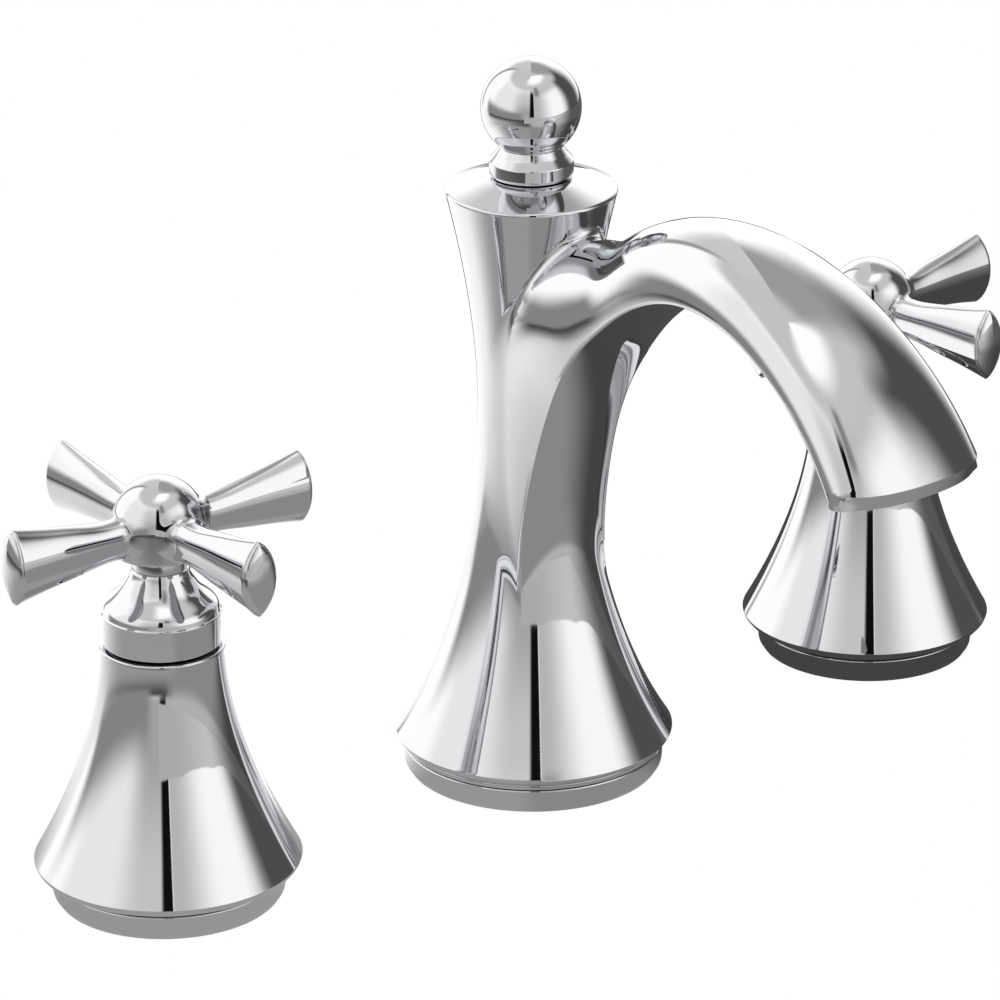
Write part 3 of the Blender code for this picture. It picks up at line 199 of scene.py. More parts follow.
facing = add(sky, "ShaderNodeVectorMath", {0: heading, 1: -back}, operation="DOT_PRODUCT")
flag = add(sky, "ShaderNodeMapRange", {"Value": facing.outputs["Value"], "From Min": math.cos(FLAG_SIZE),
                                       "From Max": math.cos(FLAG_SIZE - FLAG_SOFTNESS)},
           interpolation_type="SMOOTHSTEP")
room = add(sky, "ShaderNodeMix", {"Factor": flag, "A": room, "B": FLAG_LIGHT}, data_type="FLOAT")

# %% World: white for the camera, the room for everything else
path = add(sky, "ShaderNodeLightPath")
chosen = add(sky, "ShaderNodeMix", {"Factor": path.outputs["Is Camera Ray"], "A": room, "B": 1.0},
             data_type="FLOAT")
background = add(sky, "ShaderNodeBackground", {"Color": (1, 1, 1, 1), "Strength": chosen})
add(sky, "ShaderNodeOutputWorld", {"Surface": background})
bpy.context.scene.view_settings.view_transform = "Standard"
bpy.context.scene.view_settings.look = "None"
print(len(sky.nodes), "nodes draw the studio")

# %% [markdown]
# A world shader has no near and far, but two pieces of the table are close enough for each post
# to see them at another height. So they stand in the scene, where only reflections see them, and
# both glow with painted light instead of being lit: the low far edge of the table at the right, a
# curved card painted brightest where the right softbox would light it, and the table top, a sheet
# whose painted light is pale round the faucet, fades away into the darker table at the left and reaches to
# the card at the right.

# %% Meshes, blank materials and pieces that only reflections see
WHITE = linear("#FFFFFF")


def mesh_object(name, points, faces, paint=None):
    mesh = bpy.data.meshes.new(name)
    mesh.from_pydata([tuple(point) for point in points], [], faces)
    mesh.update()
    if paint:
        mesh.materials.append(paint)
    made = bpy.data.objects.new(name, mesh)
    bpy.context.scene.collection.objects.link(made)
    return made


def square(name, reach, drop, paint):
    """A level square about the middle of the deck, a little below its top."""
    corners = [(x * reach, y * reach, -drop) for x, y in ((-1, -1), (1, -1), (1, 1), (-1, 1))]
    return mesh_object(name, corners, [(0, 1, 2, 3)], paint)


def blank_material(name):
    """A material without nodes, and its tree."""
    made = bpy.data.materials.new(name)
    made.use_nodes = True
    made.node_tree.nodes.clear()
    return made, made.node_tree


def only_mirrored(piece):
    piece.visible_camera = False
    piece.visible_diffuse = False
    piece.visible_shadow = False

# %% Light that changes round the compass
def compass(tree):
    """Bearing of a point from the middle of the table, in degrees from the camera's."""
    spot = add(tree, "ShaderNodeTexCoord").outputs["Object"]
    turned_spot = add(tree, "ShaderNodeVectorRotate", {"Vector": spot, "Angle": -CAMERA_AZIMUTH},
                      rotation_type="Z_AXIS")
    parts = add(tree, "ShaderNodeSeparateXYZ", {0: turned_spot})
    towards = add(tree, "ShaderNodeMath", {0: parts.outputs["Y"], 1: -1.0}, operation="MULTIPLY")
    bearing = add(tree, "ShaderNodeMath", {0: parts.outputs["X"], 1: towards}, operation="ARCTAN2")
    return add(tree, "ShaderNodeMath", {0: bearing}, operation="DEGREES")


def round_compass(tree, bearing, light, ramps):
    """A light times smooth ramps; each has its two bearings, and what it multiplies by there."""
    for start, end, low, high in ramps:
        ramp = add(tree, "ShaderNodeMapRange", {"Value": bearing, "From Min": start, "From Max": end,
                                                "To Min": low, "To Max": high},
                   interpolation_type="SMOOTHSTEP")
        light = add(tree, "ShaderNodeMath", {0: light, 1: ramp}, operation="MULTIPLY")
    return light

# %% The table's far edge at the right, as a card
EDGE_BEARINGS = (-16, 10, 35, 60, 80, 110, 126)
EDGE_DISTANCES = (0.40, 0.402, 0.45, 0.516, 0.65, 0.80, 0.90)
EDGE_HEIGHTS = (0.0895, 0.0895, 0.082, 0.0714, 0.0503, 0.030, 0.020)
EDGE_STEPS = 71
EDGE_LIGHT = 0.74
EDGE_RAMPS = ((0, 60, 0.76, 1.0), (56, 106, 1.0, 0.19))
TABLE_DROP = 0.0001

# The card glows with painted light: brightest where the right softbox would light the table's edge, and
# dimmer to each side.
edge_paint, tree = blank_material("table edge with painted light")
strength = round_compass(tree, compass(tree), EDGE_LIGHT, EDGE_RAMPS)
glow = add(tree, "ShaderNodeEmission", {"Color": WHITE, "Strength": strength})
add(tree, "ShaderNodeOutputMaterial", {"Surface": glow})
card_points = []
for degrees in np.linspace(EDGE_BEARINGS[0], EDGE_BEARINGS[-1], EDGE_STEPS + 1):
    angle = CAMERA_AZIMUTH + math.radians(degrees)
    distance = float(np.interp(degrees, EDGE_BEARINGS, EDGE_DISTANCES))
    x = distance * math.sin(angle)
    y = -distance * math.cos(angle)
    card_points += [(x, y, -TABLE_DROP), (x, y, float(np.interp(degrees, EDGE_BEARINGS, EDGE_HEIGHTS)))]
card_faces = [(2 * i, 2 * i + 2, 2 * i + 3, 2 * i + 1) for i in range(EDGE_STEPS)]
only_mirrored(mesh_object("table_edge", card_points, card_faces, edge_paint))

# %% Distance from the row of posts
SPACING = 0.2032    # between the handles' axes


def from_posts(tree):
    """How far a point of the table is from the line between the handles."""
    spot = add(tree, "ShaderNodeSeparateXYZ", {0: add(tree, "ShaderNodeTexCoord").outputs["Object"]})
    sideways = add(tree, "ShaderNodeMath", {0: spot.outputs["X"]}, operation="ABSOLUTE")
    beyond = add(tree, "ShaderNodeMath", {0: sideways, 1: SPACING / 2}, operation="SUBTRACT")
    beside = add(tree, "ShaderNodeMath", {0: beyond, 1: 0.0}, operation="MAXIMUM")
    offset = add(tree, "ShaderNodeCombineXYZ", {"X": beside, "Y": spot.outputs["Y"], "Z": 0.0})
    return add(tree, "ShaderNodeVectorMath", {0: offset}, operation="LENGTH").outputs["Value"]

# %% The table top, as a sheet
SHEET_REACH = 0.95
SHEET_LIGHT = 0.42
SHEET_RAMPS = ((-118, -62, 3.1, 1.0), (60, 104, 1.0, 0.22))
RIGHT_RAMPS = ((-10, 4, 0.0, 1.0),)
RIGHT_NEAR, RIGHT_NEAR_LIGHT = 0.20, 0.34
RIGHT_FAR, RIGHT_FAR_LIGHT = 0.31, 0.60
PALE_REACH = 0.15
PALE_END = 0.25

# The sheet glows with painted light and shade: brighter towards the left and darker towards the right. At the
# right it is dimmer close to the posts than further out.
sheet_paint, tree = blank_material("table top with painted light and shade")
bearing = compass(tree)
away = from_posts(tree)
at_right = round_compass(tree, bearing, 1.0, RIGHT_RAMPS)
far_light = add(tree, "ShaderNodeMapRange", {"Value": away, "From Min": RIGHT_NEAR, "From Max": RIGHT_FAR,
                                             "To Min": RIGHT_NEAR_LIGHT, "To Max": RIGHT_FAR_LIGHT},
                interpolation_type="SMOOTHSTEP")
light = add(tree, "ShaderNodeMix", {"Factor": at_right, "A": SHEET_LIGHT, "B": far_light}, data_type="FLOAT")
strength = round_compass(tree, bearing, light, SHEET_RAMPS)
glow = add(tree, "ShaderNodeEmission", {"Color": WHITE, "Strength": strength})
faded = add(tree, "ShaderNodeMapRange", {"Value": away, "From Min": PALE_REACH, "From Max": PALE_END},
            interpolation_type="SMOOTHSTEP")
at_left = add(tree, "ShaderNodeMath", {0: 1.0, 1: at_right}, operation="SUBTRACT")
fade = add(tree, "ShaderNodeMath", {0: faded, 1: at_left}, operation="MULTIPLY")
clear = add(tree, "ShaderNodeBsdfTransparent")
sheet = add(tree, "ShaderNodeMixShader", {0: fade, 1: glow, 2: clear})
add(tree, "ShaderNodeOutputMaterial", {"Surface": sheet})
only_mirrored(square("table_top", SHEET_REACH, TABLE_DROP, sheet_paint))
print("table edge and table top stand ready for the reflections")

# %% [markdown]
# ## The floor
# A plain white sheet lies at the height of the deck, so the part below it is hidden from above.
# The camera sees it evenly lit; it isn't mirrored in the chrome, where the studio's own table
# shows instead.

# %% Floor
FLOOR_REACH = 6.0
FLOOR_DROP = 0.00005

paper, tree = blank_material("white seamless paper")
lit = add(tree, "ShaderNodeEmission", {"Color": WHITE, "Strength": 1.0})
add(tree, "ShaderNodeOutputMaterial", {"Surface": lit})
floor = square("floor", FLOOR_REACH, FLOOR_DROP, paper)
floor.visible_glossy = False
print("floor laid at deck height")

# %% [markdown]
# ## Finishes
# Every finish starts from what the real material is and how its surface was made. Patterns are
# measured in millimetres on the part: the texture coordinate is the object's own, in metres. A
# noise texture stays near its middle, so the range 0.3 to 0.7 is what gets spread.

# %% A material to start from
NOISE_LOW = 0.3
NOISE_HIGH = 0.7


def new_material(name, colour, metallic, roughness):
    """A Principled material; gives the material, its tree, its shader and its coordinates."""
    material = bpy.data.materials.new(name)
    material.use_nodes = True
    tree = material.node_tree
    shader = tree.nodes["Principled BSDF"]
    shader.inputs["Base Color"].default_value = linear(colour)
    shader.inputs["Metallic"].default_value = metallic
    shader.inputs["Roughness"].default_value = roughness
    material.diffuse_color = linear(colour)
    return material, tree, shader, add(tree, "ShaderNodeTexCoord").outputs["Object"]


def roughen(tree, shader, pattern, low, high):
    """Let a pattern drive the roughness between two values."""
    sheen = add(tree, "ShaderNodeMapRange", {"Value": pattern, "From Min": NOISE_LOW, "From Max": NOISE_HIGH,
                                             "To Min": low, "To Max": high})
    tree.links.new(sheen.outputs[0], shader.inputs["Roughness"])


def tint(tree, shader, pattern, colour, other_colour):
    """Let a pattern drive the colour between two hex values."""
    share = add(tree, "ShaderNodeMapRange", {"Value": pattern, "From Min": NOISE_LOW, "From Max": NOISE_HIGH})
    colours = {0: share, 6: linear(colour), 7: linear(other_colour)}
    mixed = add(tree, "ShaderNodeMix", colours, data_type="RGBA")
    tree.links.new(mixed.outputs[2], shader.inputs["Base Color"])

# %% [markdown]
# Chrome plate on the castings: nickel and a skin of chromium on hand-buffed brass. It is a
# mirror with a faint cool tint. Buffing leaves a waviness of about a centimetre, a few millionths
# of a metre deep, which bends straight reflections a little, and wiping leaves faint hazy patches.

# %% Chrome-plated brass
CHROME_SHEEN = 0.015
CHROME_HAZE = 0.05
chrome, tree, shader, place = new_material("chrome-plated brass, buffed", "#D9DADC", 1.0, CHROME_SHEEN)
wiped = add(tree, "ShaderNodeTexNoise", {"Vector": place, "Scale": per_metre(22), "Detail": 3.0})
roughen(tree, shader, wiped, CHROME_SHEEN, CHROME_HAZE)
waves = add(tree, "ShaderNodeTexNoise", {"Vector": place, "Scale": per_metre(11), "Detail": 1.0})
buffed = add(tree, "ShaderNodeBump", {"Height": waves, "Distance": 0.000006})
tree.links.new(buffed.outputs[0], shader.inputs["Normal"])

# %% [markdown]
# Brass below the deck is left as machined. The tool's fine feed lines run round each turned part;
# at 0.15 mm they are finer than a render shows, so they are drawn 0.5 mm apart. Brass darkens in
# patches where it was handled.

# %% Machined brass and stainless steel
def machined(name, colour, handled_colour, roughness, line_mm):
    material, tree, shader, place = new_material(name, colour, 1.0, roughness)
    along_axis = add(tree, "ShaderNodeMapping", {"Vector": place, "Scale": (0.02, 0.02, 1)})
    lines = add(tree, "ShaderNodeTexNoise", {"Vector": along_axis, "Scale": per_metre(line_mm),
                                             "Detail": 1.0})
    patches = add(tree, "ShaderNodeTexNoise", {"Vector": place, "Scale": per_metre(9), "Detail": 4.0})
    tint(tree, shader, patches, colour, handled_colour)
    roughen(tree, shader, lines, roughness * 0.75, roughness * 1.3)
    feed = add(tree, "ShaderNodeBump", {"Height": lines, "Distance": 0.00002})
    tree.links.new(feed.outputs[0], shader.inputs["Normal"])
    return material


brass = machined("free-cutting brass, turned", "#C9A45C", "#A9813F", 0.24, 0.5)
steel = machined("stainless steel, stamped", "#B9BBBE", "#A3A4A8", 0.26, 0.6)

# %% [markdown]
# The rest is moulded or fired. Rubber for seals is matt black with a bloom of grey dust. Nylon
# shows a fine texture from its mould, and so does the dark acetal of the aerator. The valve's
# discs are fired alumina, lapped so flat that they have a soft gloss.

# %% Rubber, plastics and ceramic
def moulded(name, colour, dusty_colour, roughness, grain_mm, depth):
    material, tree, shader, place = new_material(name, colour, 0.0, roughness)
    dust = add(tree, "ShaderNodeTexNoise", {"Vector": place, "Scale": per_metre(7), "Detail": 5.0})
    tint(tree, shader, dust, colour, dusty_colour)
    roughen(tree, shader, dust, roughness * 0.9, roughness * 1.1)
    grain = add(tree, "ShaderNodeTexNoise", {"Vector": place, "Scale": per_metre(grain_mm)})
    texture = add(tree, "ShaderNodeBump", {"Height": grain, "Distance": depth})
    tree.links.new(texture.outputs[0], shader.inputs["Normal"])
    return material


rubber = moulded("nitrile rubber, moulded", "#191919", "#2B2A29", 0.75, 0.4, 0.00002)
nylon = moulded("nylon, moulded", "#E6E4DE", "#D8D5CC", 0.42, 0.5, 0.00001)
acetal = moulded("acetal, moulded", "#2B2C2E", "#37383A", 0.38, 0.5, 0.00001)
ceramic = moulded("alumina, lapped", "#EFECE4", "#E6E2D8", 0.18, 0.8, 0.000002)
finishes = {"chrome_plate": chrome, "brass": brass, "stainless_steel": steel, "black_rubber": rubber,
            "white_nylon": nylon, "dark_plastic": acetal, "ceramic": ceramic}
print(len(finishes), "finishes")

# %% [markdown]
# ## Turned pieces
# Most of the faucet is turned on a lathe or looks it, so most pieces are a profile swept round an
# upright axis. A real corner is never sharp: a fillet of a few tenths of a millimetre catches the
# light and draws the bright line that makes chrome read as solid. A corner of a profile may name
# its fillet, and true arcs are put in. A profile that starts and ends on the axis closes itself;
# any other is joined end to start.

# %% Profiles with fillets
def rounded(corners, steps=5):
    """Points of a profile of (radius, height) or (radius, height, fillet) corners."""
    points = []
    for number, (radius, height, *fillet) in enumerate(corners):
        here = Vector((radius, height))
        if not fillet:
            points.append(tuple(here))
            continue
        before = Vector(corners[number - 1][:2]) - here
        after = Vector(corners[(number + 1) % len(corners)][:2]) - here
        half = before.angle(after) / 2
        reach = min(fillet[0] / math.tan(half), 0.45 * before.length, 0.45 * after.length)
        centre = here + (before.normalized() + after.normalized()).normalized() * (reach / math.cos(half))
        start = here + before.normalized() * reach - centre
        sweep = start.angle_signed(here + after.normalized() * reach - centre)
        for step in range(steps + 1):
            arm = start.copy()
            arm.rotate(Matrix.Rotation(-sweep * step / steps, 2))
            points.append(tuple(centre + arm))
    return points


def along(start, end, count, curve):
    """Points of a curve radius(height), from one height to another."""
    return [(curve(height), height) for height in np.linspace(start, end, count)]

# %% A lathe, and threads
AROUND = 144
SHARP = math.radians(32)


def lathe(name, profile, steps=AROUND):
    """Sweep a profile round Z: down its outer side, then up its inner side."""
    points = []
    rings = []
    for radius, height in profile:
        count = steps if radius > 1e-7 else 1
        rings.append(range(len(points), len(points) + count))
        for step in range(count):
            angle = 2 * math.pi * step / steps
            points.append((radius * math.cos(angle), radius * math.sin(angle), height))
    pairs = list(zip(rings, rings[1:]))
    if len(rings[0]) > 1:
        pairs.append((rings[-1], rings[0]))
    faces = []
    for upper, lower in pairs:
        for step in range(steps):
            ahead = (step + 1) % steps
            corners = [upper[step % len(upper)], lower[step % len(lower)],
                       lower[ahead % len(lower)], upper[ahead % len(upper)]]
            faces.append(list(dict.fromkeys(corners)))
    return mesh_object(name, points, faces)


def thread(piece, radius, bottom, top, pitch, depth):
    """Press a screw thread into the rings of a lathe piece that stand at one radius."""
    for vertex in piece.data.vertices:
        x, y, z = vertex.co
        if abs(math.hypot(x, y) - radius) < 1e-6 and bottom <= z <= top:
            turns = z / pitch - math.atan2(y, x) / (2 * math.pi)
            fade = min(1, (z - bottom) / pitch, (top - z) / pitch)
            groove = depth * (1 - abs(2 * (turns % 1) - 1)) ** 0.8 * fade
            vertex.co *= Vector((1 - groove / radius, 1 - groove / radius, 1))
    return piece

# %% Cutting, joining and placing
def combine(piece, other, operation):
    """Cut another object out of a piece, join it on or keep what both share; the other is used up."""
    change = piece.modifiers.new(operation, "BOOLEAN")
    change.operation = operation
    change.solver = "EXACT"
    change.object = other
    bpy.context.view_layer.update()
    mesh = bpy.data.meshes.new_from_object(piece.evaluated_get(bpy.context.evaluated_depsgraph_get()))
    piece.modifiers.clear()
    piece.data = mesh
    bpy.data.objects.remove(other, do_unlink=True)
    return piece


def bar(name, radius, bottom, top, steps=48):
    return lathe(name, [(0, top), (radius, top), (radius, bottom), (0, bottom)], steps)


def move(piece, place, direction=(0, 0, 1)):
    """Turn a piece made on Z to run along a direction from a place, in its mesh."""
    turned_to = Vector((0, 0, 1)).rotation_difference(Vector(direction)).to_matrix().to_4x4()
    piece.data.transform(Matrix.Translation(place) @ turned_to)
    return piece


def finish(piece, body, slot, *replaced, weighted=True):
    """Smooth a piece, give it its finish and body, and let it stand for its CAD nodes."""
    mesh = piece.data
    mesh.materials.clear()
    mesh.materials.append(finishes[slot])
    if weighted:
        mesh.shade_smooth()
        mesh.set_sharp_from_angle(angle=SHARP)
        even = piece.modifiers.new("weighted normals", "WEIGHTED_NORMAL")
        even.keep_sharp = True
    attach(piece, body)
    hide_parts(*replaced)
    piece.visible_glossy = min(vertex.co.z for vertex in mesh.vertices) > -FLOOR_DROP
    print(piece.name, "rides on", body, "with", len(mesh.polygons), "faces")
    return piece

# %% [markdown]
# ## Sizes shared with the frame
# The pieces are made from the same sizes as the CAD part, so they sit where the frame says.

# %% Shared sizes
COVER_SEAT = 0.0058
CROWN = 0.1378
DECK = 0.020
SHANK_RADIUS = 0.0132
CLEARANCE = 0.0003
OVERRUN = 0.002
handles = {"hot": -SPACING / 2, "cold": SPACING / 2}
REST_TURN = {"hot": math.radians(-2.4), "cold": math.radians(3.4)}

# %% [markdown]
# ## Base rings
# Each post stands on a chrome ring with a rubber gasket in a groove under it. Its foot is rounded,
# so that it seems to float on a thin shadow line.

# %% Base rings
RING_TOP = COVER_SEAT - CLEARANCE
RING_LIP = 0.0026
GROOVE = 0.0019
SPOUT_FOOT = 0.0289
BELL_FOOT = 0.0249


def base_ring(post, radius, x):
    bore = SHANK_RADIUS + CLEARANCE
    profile = rounded([(radius, RING_TOP, 0.0004), (radius - 0.0002, 0.0014, 0.0012),
                       (radius - 0.0011, 0, 0.0003), (radius - RING_LIP, 0, 0.0002),
                       (radius - RING_LIP, GROOVE), (bore + RING_LIP, GROOVE), (bore + RING_LIP, 0),
                       (bore, 0), (bore, RING_TOP, 0.0003)])
    ring = move(lathe(post + "_ring", profile), (x, 0, 0))
    return finish(ring, "root", "chrome_plate", post + "_base_ring")


base_ring("spout", SPOUT_FOOT, 0)
for side, x in handles.items():
    base_ring(side, BELL_FOOT, x)

# %% [markdown]
# ## The bells
# A bell hides each valve. It is spun or cast thin, and its flare follows a power curve: nearly
# upright below the band, and sweeping out to a rolled rim with a cove under it.

# %% Bells
BELL_TOP = 0.0575
BELL_RIM = 0.0087
BELL_NECK = 0.0133
BELL_FLARE = 0.0285
BELL_POWER = 1.8
BELL_WALL = 0.0016
BELL_CEILING = BELL_TOP - BELL_WALL
BELL_INSIDE = BELL_FOOT - BELL_WALL


def bell_radius(height):
    share = (BELL_TOP - height) / (BELL_TOP - BELL_RIM)
    return BELL_NECK + (BELL_FLARE - BELL_NECK) * share ** BELL_POWER


def bell(side, x):
    hole = 0.0099
    outer = rounded([(hole, BELL_TOP, 0.0002), (BELL_NECK, BELL_TOP, 0.0005), (bell_radius(0.0566), 0.0566)])
    outer += along(0.0562, 0.0090, 72, bell_radius)
    outer += rounded([(0.02838, 0.0089), (BELL_FLARE, BELL_RIM, 0.00025), (0.0282, 0.0079, 0.0005),
                      (0.0275, 0.0071, 0.0004), (0.0263, 0.0066, 0.0010), (BELL_FOOT, 0.0062, 0.0003),
                      (BELL_FOOT, COVER_SEAT)])[1:]
    inner = [(BELL_INSIDE, COVER_SEAT), (BELL_INSIDE, BELL_RIM)]
    inner += [(radius - BELL_WALL, height) for radius, height in along(0.0215, BELL_CEILING, 24, bell_radius)]
    inner += [(hole, BELL_CEILING)]
    return finish(move(lathe(side + "_bell", outer + inner), (x, 0, 0)), "root", "chrome_plate",
                  side + "_escutcheon")


for side, x in handles.items():
    bell(side, x)

# %% [markdown]
# ## Smooth curves through a few sizes
# The skirt of a handle and the arm of the spout swell and narrow along their length. A natural
# cubic spline through a few measured sizes bends evenly: its curvature has no jumps, and a jump
# would show as a kink in every reflection.

# %% Natural cubic splines
def spline(stations, values):
    """A smooth curve through values at uneven stations, for numbers or arrays."""
    x = np.asarray(stations, float)
    y = np.asarray(values, float)
    gap = np.diff(x)
    count = len(x)
    matrix = np.eye(count)
    wanted = np.zeros(count)
    for i in range(1, count - 1):
        matrix[i, i - 1:i + 2] = gap[i - 1], 2 * (gap[i - 1] + gap[i]), gap[i]
        wanted[i] = 6 * ((y[i + 1] - y[i]) / gap[i] - (y[i] - y[i - 1]) / gap[i - 1])
    bend = np.linalg.solve(matrix, wanted)

    def curve(place):
        place = np.asarray(place, float)
        i = np.clip(np.searchsorted(x, place) - 1, 0, count - 2)
        after = x[i + 1] - place
        before = place - x[i]
        h = gap[i]
        return ((bend[i] * after ** 3 + bend[i + 1] * before ** 3) / (6 * h)
                + (y[i] / h - bend[i] * h / 6) * after + (y[i + 1] / h - bend[i + 1] * h / 6) * before)
    return curve

# %% [markdown]
# ## Band and skirt of a handle
# The band turns with the handle, a millimetre above the bell. From it an S-shaped skirt climbs to
# a narrow neck. A tiny set screw at the back holds the handle on its stem. The handles were set
# by hand, so neither stands quite square: each is turned by a few degrees at rest.

# %% Skirts with their set-screw holes
BAND_BOTTOM = 0.0585
BAND_LIP = 0.0581
BAND_TOP = 0.0648
BAND_RADIUS = 0.01264
BAND_INSIDE = 0.01084
SKIRT_BOTTOM = 0.0651
SKIRT_RADIUS = 0.01234
NECK_RADIUS = 0.0062
NECK_BOTTOM = 0.0745
NECK_TOP = 0.0769
COLLAR_RADIUS = 0.0057
SET_SCREW_HEIGHT = 0.0618
STEM_BORE = 0.0023
skirt_share = spline((0, 0.18, 0.36, 0.52, 0.68, 0.84, 1), (1, 0.92, 0.64, 0.385, 0.21, 0.07, 0))


def set_on_stem(piece, side, x):
    """Turn a piece made on Z to its handle's rest angle and carry it to the handle's stem."""
    piece.data.transform(Matrix.Translation((x, 0, 0)) @ Matrix.Rotation(REST_TURN[side], 4, "Z"))
    return piece


def skirt_radius(height):
    share = float(skirt_share((height - SKIRT_BOTTOM) / (NECK_BOTTOM - SKIRT_BOTTOM)))
    return NECK_RADIUS + (SKIRT_RADIUS - NECK_RADIUS) * share


def skirt(side, x):
    profile = rounded([(STEM_BORE, NECK_TOP), (COLLAR_RADIUS, NECK_TOP, 0.0003), (COLLAR_RADIUS, 0.0747),
                       (NECK_RADIUS, NECK_BOTTOM, 0.0002)])
    profile += along(0.0742, 0.0653, 40, skirt_radius)
    profile += rounded([(SKIRT_RADIUS, 0.0652), (0.01236, SKIRT_BOTTOM, 0.0001),
                        (BAND_RADIUS, BAND_TOP, 0.0003), (BAND_RADIUS, BAND_LIP, 0.0004),
                        (0.0115, BAND_LIP, 0.0002), (0.0112, BAND_BOTTOM),
                        (BAND_INSIDE, BAND_BOTTOM), (BAND_INSIDE, BAND_TOP),
                        (0.0037, 0.0709), (0.0037, 0.0727), (STEM_BORE, 0.0727)])[1:]
    piece = lathe(side + "_skirt", profile)
    hole = move(bar("hole", 0.0023, 0, 0.006), (0, 0.0095, SET_SCREW_HEIGHT), (0, 1, 0))
    combine(piece, hole, "DIFFERENCE")
    set_on_stem(piece, side, x)
    return finish(piece, side + "_handle", "chrome_plate", side + "_handle_skirt")


for side, x in handles.items():
    skirt(side, x)

# %% [markdown]
# ## Shapes as distances
# Where two castings flow into each other, a boolean alone leaves a knife-sharp seam. Here each
# shape is also written as a function that is zero on its surface and grows with the distance
# outside it. A smooth minimum of two of them is a surface with a fillet in the seam. After the
# boolean, the points near the seam are pulled onto that surface, and the shading normals are
# taken from its gradient, so that the mirror finish is free of facets.

# %% Gradients, smooth minimum and projection
PROBE = 0.00002


def gradient(field, points):
    result = np.empty_like(points)
    for axis in range(3):
        step = np.zeros(3)
        step[axis] = PROBE
        result[:, axis] = (field(points + step) - field(points - step)) / (2 * PROBE)
    return result


def smooth_min(first, second, width):
    overlap = np.clip(width - np.abs(first - second), 0, None) / width
    return np.minimum(first, second) - overlap ** 2 * width / 4


def smooth_max(first, second, width):
    return -smooth_min(-first, -second, width)


def as_distance(field):
    """Divide a field by its slope, which makes it nearly a distance close to its surface."""
    def distance(points):
        slope = np.linalg.norm(gradient(field, points), axis=1)
        return field(points) / np.maximum(slope, 1e-6)
    return distance


def pull_onto(field, points, steps=6, longest=0.0006):
    """Newton steps along the gradient until the points lie on the field's surface."""
    points = points.copy()
    for _ in range(steps):
        slope = gradient(field, points)
        step = -(field(points) / np.maximum((slope ** 2).sum(1), 1e-6))[:, None] * slope
        length = np.linalg.norm(step, axis=1, keepdims=True)
        points += step * np.minimum(1, longest / np.maximum(length, 1e-12))
    return points


def places(mesh):
    values = np.empty(len(mesh.vertices) * 3)
    mesh.vertices.foreach_get("co", values)
    return values.reshape(-1, 3)

# %% Fillets in a mesh, and normals from the field
SKIN = 0.00008


def refine(piece, chosen, lengths):
    """Split the edges at the points that a test picks, until they are short enough."""
    bm = bmesh.new()
    bm.from_mesh(piece.data)
    for longest in lengths:
        bm.verts.ensure_lookup_table()
        picked = chosen(np.array([vertex.co for vertex in bm.verts]))
        hit = [vertex for vertex, flag in zip(bm.verts, picked) if flag]
        bmesh.ops.triangulate(bm, faces=list({face for vertex in hit for face in vertex.link_faces}))
        edges = {edge for vertex in hit for edge in vertex.link_edges if edge.calc_length() > longest}
        bmesh.ops.subdivide_edges(bm, edges=list(edges), cuts=1)
        bmesh.ops.triangulate(bm, faces=[face for face in bm.faces if len(face.verts) > 4])
    bm.to_mesh(piece.data)
    bm.free()


def soften(piece, field, chosen):
    """Pull the chosen points onto the field, which rounds the seam between two joined shapes."""
    points = places(piece.data)
    picked = chosen(points)
    points[picked] = pull_onto(field, points[picked])
    piece.data.vertices.foreach_set("co", points.ravel())
    piece.data.update()
    print(piece.name, "has", int(picked.sum()), "points in its fillets")


def shade_by_field(piece, field, on_skin):
    """Take the shading normals of all points on the skin from the field's gradient."""
    mesh = piece.data
    points = places(mesh)
    skin = on_skin(points) & (np.abs(field(points)) < SKIN)
    normals = np.zeros_like(points)
    slope = gradient(field, points[skin])
    normals[skin] = slope / np.linalg.norm(slope, axis=1, keepdims=True)
    mesh.shade_smooth()
    mesh.set_sharp_from_angle(angle=SHARP)
    corners = np.empty(len(mesh.loops), int)
    mesh.loops.foreach_get("vertex_index", corners)
    facing = np.empty(len(mesh.polygons) * 3)
    mesh.polygons.foreach_get("normal", facing)
    sizes = np.empty(len(mesh.polygons), int)
    mesh.polygons.foreach_get("loop_total", sizes)
    face_of = np.repeat(np.arange(len(sizes)), sizes)
    split = normals[corners]
    against = (split * facing.reshape(-1, 3)[face_of]).sum(1) < 0.5
    other = np.zeros(len(sizes), bool)
    np.logical_or.at(other, face_of[against & skin[corners]], True)
    split[other[face_of]] = 0
    mesh.normals_split_custom_set(split)

# %% [markdown]
# ## The spout's column
# The column is turned: a flare to a rim with a cove under it, a waist, and a swell up to a
# shallow cone on which the lift knob stands.

# %% Column
TOP = 0.1345
TOP_RADIUS = 0.0186
WAIST = 0.086
WAIST_RADIUS = 0.0119
RIM = 0.009
RIM_RADIUS = 0.0310
CROWN_RADIUS = 0.0092


def column_radius(height):
    height = np.asarray(height, float)
    down = np.clip((WAIST - height) / (WAIST - RIM), 0, None)
    up = np.clip((height - WAIST) / (TOP - WAIST), 0, None)
    flare = WAIST_RADIUS + (RIM_RADIUS - WAIST_RADIUS) * (0.927 * down ** 2.2 + 0.073 * down ** 8)
    swell = WAIST_RADIUS + (TOP_RADIUS - WAIST_RADIUS) * (1.25 * up ** 2 - 0.25 * up ** 3)
    return np.where(height <= WAIST, flare, swell)


def column_field(points):
    height = points[:, 2]
    slope = (column_radius(height + PROBE) - column_radius(height - PROBE)) / (2 * PROBE)
    return (np.hypot(points[:, 0], points[:, 1]) - column_radius(height)) / np.sqrt(1 + slope ** 2)


